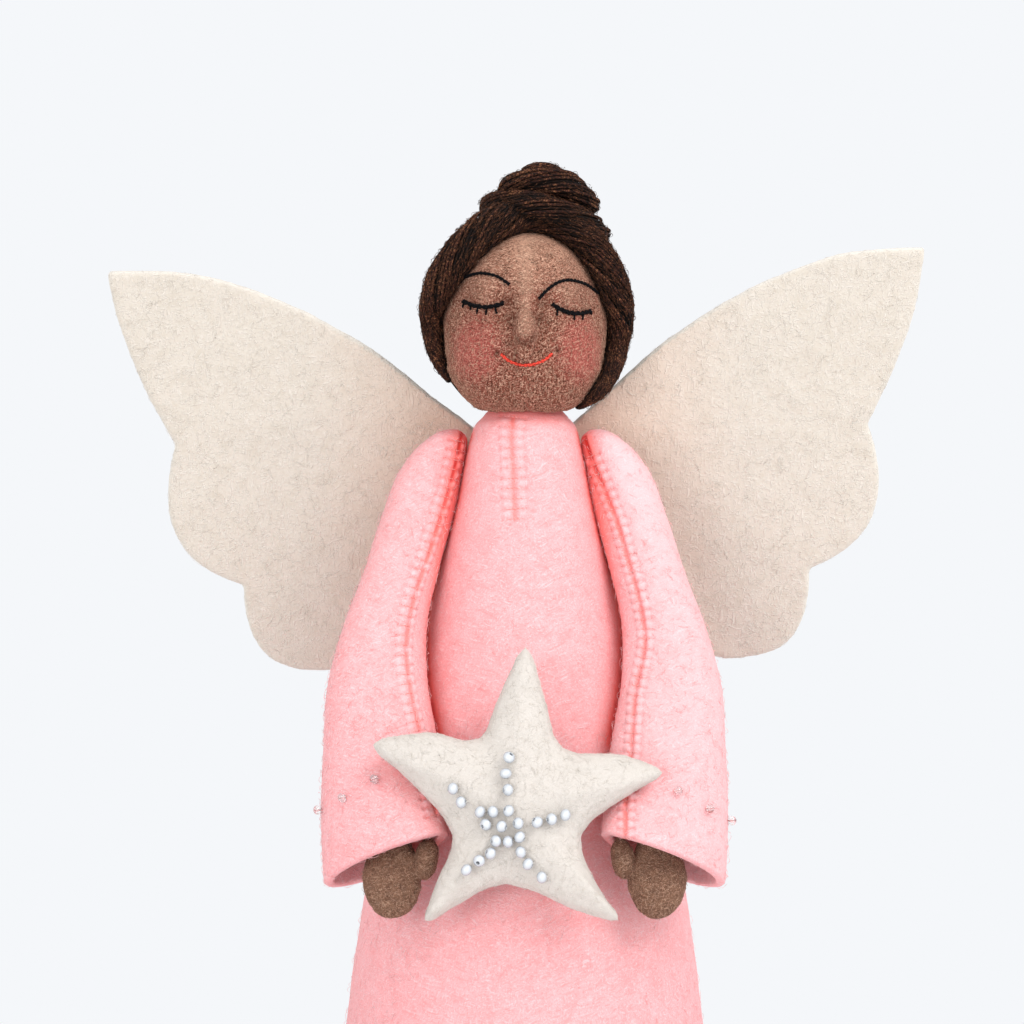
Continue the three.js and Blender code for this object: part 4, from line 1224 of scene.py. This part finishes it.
# Rows of points from the parting to the nape, measured in millimetres from the middle of the head
LEFT_ROWS = [
    [(4, -7, 29), (-9, -8, 27), (-18, -10, 19), (-25, -7, 9), (-27, -2, -2), (-25, 2, -10), (-19, 9, -15),
     (-11, 17, -16)],
    [(4, 6, 29), (-9, 5, 27), (-19, 4, 19), (-25, 6, 8), (-26, 10, -3), (-22, 14, -11), (-15, 18, -15),
     (-8, 21, -17)],
    [(4, 15, 25), (-6, 16, 22), (-13, 19, 15), (-17, 21, 6), (-17, 22, -4), (-14, 23, -11), (-10, 24, -15),
     (-5, 24, -18)],
    [(3, 20, 20), (1, 23, 16), (0, 26, 10), (0, 27, 3), (0, 27, -4), (0, 26, -10), (0, 25, -14),
     (0, 24, -18)]]
RIGHT_ROWS = [
    [(5, -7, 29), (15, -8, 26), (23, -9, 18), (28, -6, 8), (28, -2, -3), (26, 1, -11), (20, 6, -17),
     (12, 15, -18)],
    [(5, 6, 29), (15, 5, 26), (22, 4, 17), (27, 7, 7), (27, 11, -4), (23, 14, -12), (16, 17, -17),
     (9, 20, -18)],
    [(5, 15, 25), (12, 16, 21), (17, 19, 14), (20, 21, 5), (20, 22, -4), (16, 23, -11), (11, 23, -16),
     (6, 24, -18)],
    [(4, 20, 20), (3, 23, 16), (2, 26, 10), (2, 27, 3), (2, 27, -4), (2, 26, -10), (2, 25, -14),
     (1, 24, -18)]]


def combed(name, rows, seed):
    """Yarns side by side between the chosen rows."""
    rng = np.random.default_rng(seed)
    chosen = np.stack([smooth_path(head_centre + np.array(row) * MM, COMBED_STEPS) for row in rows])
    grid = smooth_path(chosen.reshape(len(rows), -1), COMBED_YARNS).reshape(COMBED_YARNS, COMBED_STEPS, 3)
    outwards = grid - HAIR_CENTRE
    full = 1 / np.linalg.norm(outwards / HAIR_REACH, axis=2, keepdims=True)
    from_bun = np.linalg.norm(grid[..., :2] - BUN_AXIS, axis=2, keepdims=True)
    tucked = fade(from_bun, BUN_REACH, BUN_REACH - 5 * MM) * (grid[..., 2:] > head_centre[2])
    wobble = rng.normal(0, 0.008, (COMBED_YARNS, 1, 1))
    phase = rng.uniform(0, FULL_TURN, (COMBED_YARNS, 1, 1))
    sway = 0.006 * np.sin(np.linspace(0, 9, COMBED_STEPS)[None, :, None] + phase)
    hair_yarns[name] = list(HAIR_CENTRE + outwards * full * (1 - 0.12 * tucked + wobble + sway))
    return lay_tubes(name, hair_yarns[name], COMBED_YARN, sides=5, centre=head_centre)


combed_hair = [combed("left_combed_hair", LEFT_ROWS, 11), combed("right_combed_hair", RIGHT_ROWS, 12)]
settle(combed_hair[0], hair_yarn, "root", "hair_yarn", "hair_back")
settle(combed_hair[1], hair_yarn, "root", "hair_yarn")

# %% Wool cap under the yarns
CAP_WALL = 2.6 * MM
CAP_DEPTH = 18 * MM


def inside_outline(rows, outline):
    """Whether points lie inside a closed outline, both as rows of two numbers."""
    inside = np.zeros(len(rows), bool)
    for (x0, z0), (x1, z1) in zip(outline, np.roll(outline, -1, axis=0)):
        crosses = (z0 > rows[:, 1]) != (z1 > rows[:, 1])
        reach = x0 + (rows[:, 1] - z0) / (z1 - z0 if z1 != z0 else 1e-12) * (x1 - x0)
        inside ^= crosses & (rows[:, 0] < reach)
    return inside


cap = felted("head", "hair_cap", 0.9 * MM, 6)
points = read_points(cap)
face_outline = np.vstack([face_edge(LEFT_HAIRLINE, 20)[::-1], face_edge(RIGHT_HAIRLINE, 20)])[:, [0, 2]]
low_corners = [(face_outline[-1, 0], 0), (face_outline[0, 0], 0)]
bare = inside_outline(points[:, [0, 2]], np.vstack([face_outline, low_corners])) & (points[:, 1] < 0)
bare |= points[:, 2] < head_centre[2] - CAP_DEPTH
with edit_mode(cap):
    bpy.ops.mesh.select_all(action="DESELECT")
    bpy.ops.object.mode_set(mode="OBJECT")
    cap.data.vertices.foreach_set("select", bare)
    bpy.ops.object.mode_set(mode="EDIT")
    bpy.ops.mesh.delete(type="VERT")
modify(cap, "SOLIDIFY", thickness=CAP_WALL, offset=1)
settle(cap, cap_wool, "root", "hair_yarn")

# %% [markdown]
# ## Bun
# The bun is a rope of yarns that starts low on the right, behind the head, and is wound almost three turns up
# over a wool core. In front it climbs like an arch, and its end is tucked into the top. The middle of the
# rope is laid through listed points: an angle round the bun, a reach and a height.

# %% Bun
BUN_ROPE = 3.4 * MM
BUN_STEPS = 190
BUN_RINGS = [(1.0, 20), (0.7, 14)]
# Angle from the right, clockwise from above, in degrees; reach and height in millimetres
BUN_POINTS = [
    (-60, 12.5, 249.5), (0, 15.0, 251.8), (45, 14.8, 256.0), (90, 13.8, 259.6), (135, 13.8, 260.6),
    (180, 13.2, 260.3), (225, 12.4, 260.2), (270, 12.2, 259.8), (315, 12.4, 259.8), (360, 12.4, 261.2),
    (405, 10.4, 265.6), (450, 9.4, 266.9), (495, 9.2, 266.2), (540, 8.4, 265.0), (585, 7.2, 264.8),
    (630, 6.4, 265.0), (675, 6.2, 265.6), (720, 6.0, 266.8), (765, 4.9, 268.6), (810, 4.1, 269.4),
    (855, 3.9, 269.0), (900, 3.2, 268.0), (945, 2.2, 266.8), (990, 1.2, 265.4)]
bun_angles, bun_reaches, bun_heights = np.transpose(BUN_POINTS)
bun_angles = -np.radians(bun_angles)
bun_points = np.stack([BUN_AXIS[0] / MM + bun_reaches * np.cos(bun_angles),
                       BUN_AXIS[1] / MM + bun_reaches * np.sin(bun_angles), bun_heights], axis=1) * MM
bun_middle = smooth_path(bun_points, BUN_STEPS)
bun_base = np.array((*BUN_AXIS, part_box("head")[1].z))
bun_out = unit(bun_middle - bun_base)
wound = np.linspace(0, 1, BUN_STEPS)
narrowing = np.interp(wound, (0, 0.08, 0.3, 0.7, 1), (0.5, 1.15, 1, 1, 0.75))[:, None]
rng = np.random.default_rng(9)
bun_lines = []
for ring, count in BUN_RINGS:
    for line in twist_round(bun_middle, bun_out, (BUN_ROPE * ring - YARN) * narrowing, count, ROPE_TWIST):
        bun_lines.append(wander(line, bun_middle, 3 * MM, rng))
bun = lay_tubes("bun_yarn", bun_lines, YARN, sides=5, centre=bun_base)
hair_yarns["bun_yarn"] = bun_lines
settle(bun, hair_yarn, "root", "hair_yarn", "bun_coil")
settle(felted("bun_core", "bun_core_wool", 0.8 * MM, 3), cap_wool, "root", "hair_yarn", "bun_core")

# %% [markdown]
# ## Beads
# Glass seed beads are short rounded tubes with a hole. One bead is made from a ring with an oval
# section, and each copy takes the place and the direction of its CAD bead. Pearl glass is opaque white
# under a clear glossy coat; the sleeve beads are clear glass.

# %% Bead glass
pearl_glass, tree = new_material("pearl_seed_bead_glass")
# Each pearl is painted darker at its rim than in its middle, by the angle it is seen at: painted shade that
# gives the bead its round form.
facing = add(tree, "LayerWeight", {"Blend": 0.42}).outputs["Facing"]
milk_and_painted_rim_shade = add(tree, "Mix", {0: facing, 6: "#D3D7DB", 7: "#9098A6"}, data_type="RGBA").outputs[2]
surface = add(tree, "BsdfPrincipled", {
    "Base Color": milk_and_painted_rim_shade, "Roughness": 0.25, "IOR": 1.5, "Coat Weight": 1.0, "Coat Roughness": 0.04})
add(tree, "OutputMaterial", {"Surface": surface})
clear_glass, tree = new_material("clear_seed_bead_glass")
surface = add(tree, "BsdfPrincipled", {
    "Base Color": "#FFFFFF", "Roughness": 0.03, "IOR": 1.5, "Transmission Weight": 0.9})
add(tree, "OutputMaterial", {"Surface": surface})

# %% Beads
BEAD_HOLE_SHARE = 0.3
BEAD_WALL_SHARE = 0.35
BEAD_HALF_LENGTH_SHARE = 0.82
BEAD_RADII = {"pearl_bead": 1.6 * MM, "clear_bead": 1.25 * MM}


def model_bead(radius):
    """A ring, reshaped to a ball with flat ends and a straight hole along Z."""
    middle, section = (1 - BEAD_WALL_SHARE) * radius, BEAD_WALL_SHARE * radius
    bpy.ops.object.select_all(action="DESELECT")
    bpy.ops.mesh.primitive_torus_add(major_radius=middle, minor_radius=section, major_segments=20,
                                     minor_segments=16)
    bead = bpy.context.object
    rows = read_points(bead)
    from_axis = np.linalg.norm(rows[:, :2], axis=1)
    rise = rows[:, 2] / section
    ball = radius * np.sqrt(1 - rise ** 2 * (1 - BEAD_HOLE_SHARE ** 2))
    wanted = np.where(from_axis > middle - 1e-9, ball, radius * BEAD_HOLE_SHARE)
    rows[:, :2] *= (wanted / from_axis)[:, None]
    rows[:, 2] = rise * radius * BEAD_HALF_LENGTH_SHARE
    write_points(bead, rows)
    bpy.ops.object.shade_smooth()
    return bead


def hole_direction(node):
    """The CAD bead's axis: the direction along which its points spread least round its middle."""
    rows = read_points(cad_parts[node])
    rows = np.unique(np.round(rows, 7), axis=0)
    rows = rows - rows.mean(axis=0)
    values, vectors = np.linalg.eigh(rows.T @ rows)
    lone = 2 if abs(values[2] - values[1]) > abs(values[0] - values[1]) else 0
    return vectors[:, lone]


def place_beads(nodes, material, slot, tilt, seed):
    """One bead on each CAD bead, its hole turned a little by chance, as sewn beads sit."""
    rng = np.random.default_rng(seed)
    pattern = model_bead(BEAD_RADII[slot])
    for node in nodes:
        low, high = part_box(node)
        bead = pattern.copy()
        bead.data = pattern.data.copy()
        bead.name = f"{node}_glass"
        bpy.context.collection.objects.link(bead)
        axis = Vector(hole_direction(node)) + Vector(rng.normal(0, tilt, 3))
        bead.rotation_euler = axis.to_track_quat("Z", "Y").to_euler()
        bead.location = (low + high) / 2
        pick(bead)
        bpy.ops.object.transform_apply(location=True, rotation=True)
        settle(bead, material, "arms", slot, node)
    bpy.data.objects.remove(pattern)
    print(len(nodes), "beads of", slot)


star_beads = [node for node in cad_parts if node.startswith("star_bead")]
cuff_beads = [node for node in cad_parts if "cuff_bead" in node]
place_beads(star_beads, pearl_glass, "pearl_bead", 0.6, 21)
place_beads(cuff_beads, clear_glass, "clear_bead", 0.3, 22)

# %% [markdown]
# Each bead is held by a thread that comes up out of the wool on one side, goes through the hole and
# dives in again on the other. Only its ends show.

# %% Bead threads
BEAD_THREAD = 0.12 * MM
THREAD_SINK = 0.5 * MM


def bead_threads(name, nodes, carrier_skin, thread):
    """A thread through each bead, from the wool on one side of it to the wool on the other."""
    lines = []
    for node in nodes:
        low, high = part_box(node)
        middle = np.array((low + high) / 2)
        axis = hole_direction(node)
        radius = max(high - low) / 2
        ends = [carrier_skin.find_nearest(Vector(middle + axis * way * radius))[:2] for way in (-1.1, 1.1)]
        start, end = (np.array(place - normal * THREAD_SINK) for place, normal in ends)
        inside = 0.8 * radius * axis
        lines.append(smooth_path([start, middle - inside, middle, middle + inside, end], 14))
    settle(lay_tubes(name, lines, BEAD_THREAD, sides=5), thread, "arms", "white_wool")


bead_threads("star_bead_thread", star_beads, skin_of(star), white_thread)
for name, sleeve in sleeves.items():
    own = [node for node in cuff_beads if node.startswith(name)]
    bead_threads(f"{name}_cuff_bead_thread", own, skin_of(sleeve), pink_thread)

# %% [markdown]
# ## Inside the dress and the sleeves
# The parts that the front hides are made too: the card cone that stands the dress up, the wool plug that
# the head is sewn to, and a chenille wire in each sleeve, whose short pile is laid as fibres.

# %% Card cone
brown_card, tree = new_material("pulp_card_brown")
where = add(tree, "TexCoord").outputs["Object"]
pulp = add(tree, "TexNoise", {"Vector": where, "Scale": 1 / (0.7 * MM), "Detail": 4.0, "Roughness": 0.7})
share = add(tree, "MapRange", {"Value": pulp, "From Min": 0.45, "From Max": 0.7})
base = add(tree, "Mix", {0: share, 6: "#C9B08A", 7: "#A88C64"}, data_type="RGBA").outputs[2]
relief = add(tree, "Bump", {"Height": pulp, "Distance": 0.05 * MM, "Strength": 0.5})
surface = add(tree, "BsdfPrincipled", {
    "Base Color": base, "Roughness": 0.8, "Specular IOR Level": 0.3, "Normal": relief})
add(tree, "OutputMaterial", {"Surface": surface})
cone = start_from("cone_liner", "card_cone")
modify(cone, "BEVEL", width=0.2 * MM, segments=1, limit_method="ANGLE")
modify(cone, "SUBSURF", levels=1, render_levels=1, subdivision_type="SIMPLE")
settle(cone, brown_card, "root", "card", "cone_liner")

# %% Wool plug and chenille wires
plug = felted("neck_stuffing", "neck_wool", 0.9 * MM, 8, 4 * MM, 0.25 * MM)
settle(plug, stuffing_wool, "root", "stuffing_wool", "neck_stuffing")
wires = {}
for name in SIDES:
    wire = felted(f"{name}_arm_wire", f"{name}_chenille_wire", 0.5 * MM, 2, 1.5 * MM, 0.2 * MM)
    wires[name] = settle(wire, chenille, "arms", "chenille_wire", f"{name}_arm_wire")

# %% [markdown]
# ## Painted light and shade
# Every piece is in place now, so the painted shade can be worked out from what lies near it. It is deepest
# along the gaps that show between the dress and the sleeves. It keeps to that narrow line, so the dress shows
# no stain when the arms lift.

# %% Painted shade of the hair
# Painted shade on the yarns sunk inside each roll, and where a roll meets the head or the bun.
for piece, middle, reach in rolls:
    apart = np.linalg.norm(read_points(piece)[:, None] - middle, axis=2)
    sunk = fade(reach[apart.argmin(axis=1)] - apart.min(axis=1), 0, YARN)
    write_painted_shading(piece, -1.7 * np.maximum(sunk, nearness(piece, [head, bun], 1.1 * MM)))
# Painted shade on the yarns under the combed layer's surface, and beside the rolls and the bun.
for piece in combed_hair:
    level = np.linalg.norm((read_points(piece) - HAIR_CENTRE) / HAIR_REACH, axis=1) - 1
    sunk = np.clip(0.8 - level * HAIR_REACH[0] / COMBED_YARN, 0, 1)
    write_painted_shading(piece, -1.7 * np.maximum(sunk, nearness(piece, [*hair_rolls, bun], 1.3 * MM)))
# Painted shade on the bun's inner yarns, between its turns and beside the rolls.
from_rope = np.linalg.norm(read_points(bun)[:, None] - bun_middle[None, ::2], axis=2)
own = from_rope.argmin(axis=1)
elsewhere = np.abs(np.arange(from_rope.shape[1]) - own[:, None]) > BUN_STEPS // 12
next_turn = np.where(elsewhere, from_rope, math.inf).min(axis=1)
painted_shade_between_turns = fade(next_turn, 1.3 * BUN_ROPE, BUN_ROPE)
sunk = fade(BUN_ROPE * narrowing[::2, 0][own] - from_rope.min(axis=1), 0, YARN)
painted_shade_by_rolls = nearness(bun, hair_rolls, 1.3 * MM)
write_painted_shading(bun, -1.9 * np.maximum.reduce([0.85 * sunk, painted_shade_between_turns, painted_shade_by_rolls]))

# %% Painted light and shade of the felt
# Painted light on each sleeve's outer side, rising to the shoulder: strong on the right, where the lamp is,
# slight on the left.
SLEEVE_PAINTED_LIGHT = {"left": 0.1, "right": 0.7}
GAP_ROWS = range(438, 744, 3)
GAP_COLUMNS = {"left": range(515, 400, -1), "right": range(515, 650)}
gap_spots = []
for name, sleeve in sleeves.items():
    gap_spots += beside_edge(skin_of(sleeve), skin_of(dress), GAP_COLUMNS[name], GAP_ROWS)
# Painted shade on the dress along the gaps beside the sleeves, under the chin, under the star and along the
# back seam, and painted shade and light at the dart.
dress_painted_shading = -1.5 * closeness(dress, gap_spots, 1.9 * MM) - 0.35 * closeness(dress, gap_spots, 5 * MM)
dress_painted_shading -= 0.9 * nearness(dress, [head], 3 * MM) + 0.3 * nearness(dress, [star], 7 * MM)
dress_painted_shading += 0.8 * stitch_painted_shading(dress, dart_line, dart_stitches)
dress_painted_shading -= 0.6 * closeness(dress, back_line, 1.2 * MM)
write_painted_shading(dress, dress_painted_shading)
# Painted shade on each sleeve beside the dress, the star and the hand, and at its seam.
for name, sleeve in sleeves.items():
    painted_shading = -1.6 * nearness(sleeve, [dress], 5.5 * MM) - 0.4 * nearness(sleeve, [star, hands[name]], 5 * MM)
    painted_shading += stitch_painted_shading(sleeve, seam_lines[name], seam_stitches[name])
    painted_light_to_shoulder = fade(read_points(sleeve)[:, 2], cuff_height, shoulder_height) ** 3
    painted_light_off_seam = fade(gaps_to(sleeve, seam_lines[name]), 0, 5 * MM)
    write_painted_shading(sleeve, painted_shading + SLEEVE_PAINTED_LIGHT[name] * (0.4 + 0.6 * painted_light_to_shoulder) * painted_light_off_seam)
# Painted highlight on the wing's cut edge, and painted shade, warm like light reflected off the pink, near
# the body and the sleeves.
for wing in wings.values():
    rows, normals = read_points(wing), read_points(wing, "normal")
    plane = unit(normals[normals[:, 1] < -0.5].mean(axis=0))
    painted_edge_highlight = fade(np.abs(normals @ plane), 0.9, 0.4)
    painted_shade_by_body = fade(np.abs(rows[:, 0]), 62 * MM, 20 * MM)
    painted_shade_by_sleeves = nearness(wing, list(sleeves.values()), 8 * MM)
    write_painted_shading(wing, 0.9 * painted_edge_highlight - 0.4 * painted_shade_by_body ** 1.5 - 0.1 * painted_shade_by_sleeves)

# %% Painted light and shade of the felted wool
NOSE_CREASE = [(519, 341), (525, 344), (531, 341), (517, 338), (533, 337)]
# Place, its pixels, the strength of its painted light (above 0) and painted shade (below 0), and how far it
# reaches in millimetres
HEAD_PAINTED_SHADING = [("crease under the nose", NOSE_CREASE, -0.9, 1.0),
              ("corners of the mouth", [(497, 353), (557, 351)], -1.2, 0.7),
              ("eye sockets", [(509, 303), (542, 304), (511, 316), (540, 316)], -0.65, 2.4),
              ("eyelids", [(484, 288), (484, 294), (568, 290), (568, 297)], 0.1, 3),
              ("ridge of the nose", np.linspace((526, 240), (525, 330), 12), 0.25, 2.6)]
# Painted shade on the star where its surface turns sideways, and on each hand under its cuff.
write_painted_shading(star, -0.6 * (1 - np.abs(read_points(star, "normal")[:, 1])) ** 1.2)
for name, hand in hands.items():
    write_painted_shading(hand, -0.8 * nearness(hand, [sleeves[name]], 2.5 * MM))
# Painted shade on the head along the hair rolls and in the creases, and painted light on the eyelids and the
# ridge of the nose.
head_painted_shading = -0.8 * nearness(head, hair_rolls, 1.4 * MM)
for place, pixels, strength, reach in HEAD_PAINTED_SHADING:
    spots = drop_on(head_skin, pixels)[0]
    head_painted_shading += strength * closeness(head, spots, reach * MM)
    print(place, len(spots), "spots")
write_painted_shading(head, head_painted_shading)

# %% [markdown]
# ## Stray fibres
# Wool is never smooth. Thousands of single fibres lie on each piece, some with an end that stands off,
# and they soften the outline against the white background.

# %% Stray fibres
def skin_round_yarns(piece):
    """One closed skin over a bundle of yarns, which the fibres of the whole bundle lie on."""
    base = piece.copy()
    base.data = piece.data.copy()
    bpy.context.collection.objects.link(base)
    felt_over(base, 0.7 * MM, 2)
    return base


# Pieces, material, fibres on each, then length, thickness and lift in millimetres
FLUFF = [([dress], pink_fluff, 5000, 3.4, 0.1, 0.9), (sleeves.values(), pink_fluff, 4000, 3.2, 0.1, 1.0),
         (wings.values(), cream_fluff, 2800, 4.2, 0.08, 0.4), ([star], cream_fluff, 4200, 3.4, 0.06, 0.35),
         (hands.values(), brown_fluff, 1300, 1.8, 0.09, 0.6), ([head], brown_fluff, 7500, 1.9, 0.1, 0.3),
         (hair_rolls, hair_fluff, 3400, 2.6, 0.12, 0.9), (combed_hair, hair_fluff, 2200, 2.8, 0.12, 0.9),
         ([bun], hair_fluff, 2200, 2.6, 0.12, 1.0), (wires.values(), brown_fluff, 400, 2.4, 0.09, 1.2)]
fluffy = [(piece, *looks) for pieces, *looks in FLUFF for piece in pieces]
for seed, (piece, material, count, *sizes) in enumerate(fluffy):
    yarns = hair_yarns.get(piece.name)
    base = skin_round_yarns(piece) if yarns else piece
    length, thickness, lift = (size * MM for size in sizes)
    fluff = scatter_fibres(f"{piece.name}_fluff", base, count, length, thickness, lift, seed, yarns)
    settle(fluff, material, *carried_by[piece.name])
    if yarns:
        bpy.data.objects.remove(base)
    if piece == dress:
        keep_off_floor(fluff)

# %% [markdown]
# ## What the cloth was cut to
# The dress was cut from flat felt as a ring sector, each sleeve as a tapering strip, and each wing as it
# stands. The dress's flat area is worked out from its finished shape, because felt neither stretches nor
# drapes.

# %% Cloth
def outline_area(outline):
    """Area of the surface that an outline sweeps round the axis."""
    radii, heights = np.array(outline).T
    return float(np.sum(math.pi * (radii[1:] + radii[:-1]) * np.hypot(np.diff(radii), np.diff(heights))))


print("dress area", round(outline_area(fine_outline) / MM ** 2), "mm2")
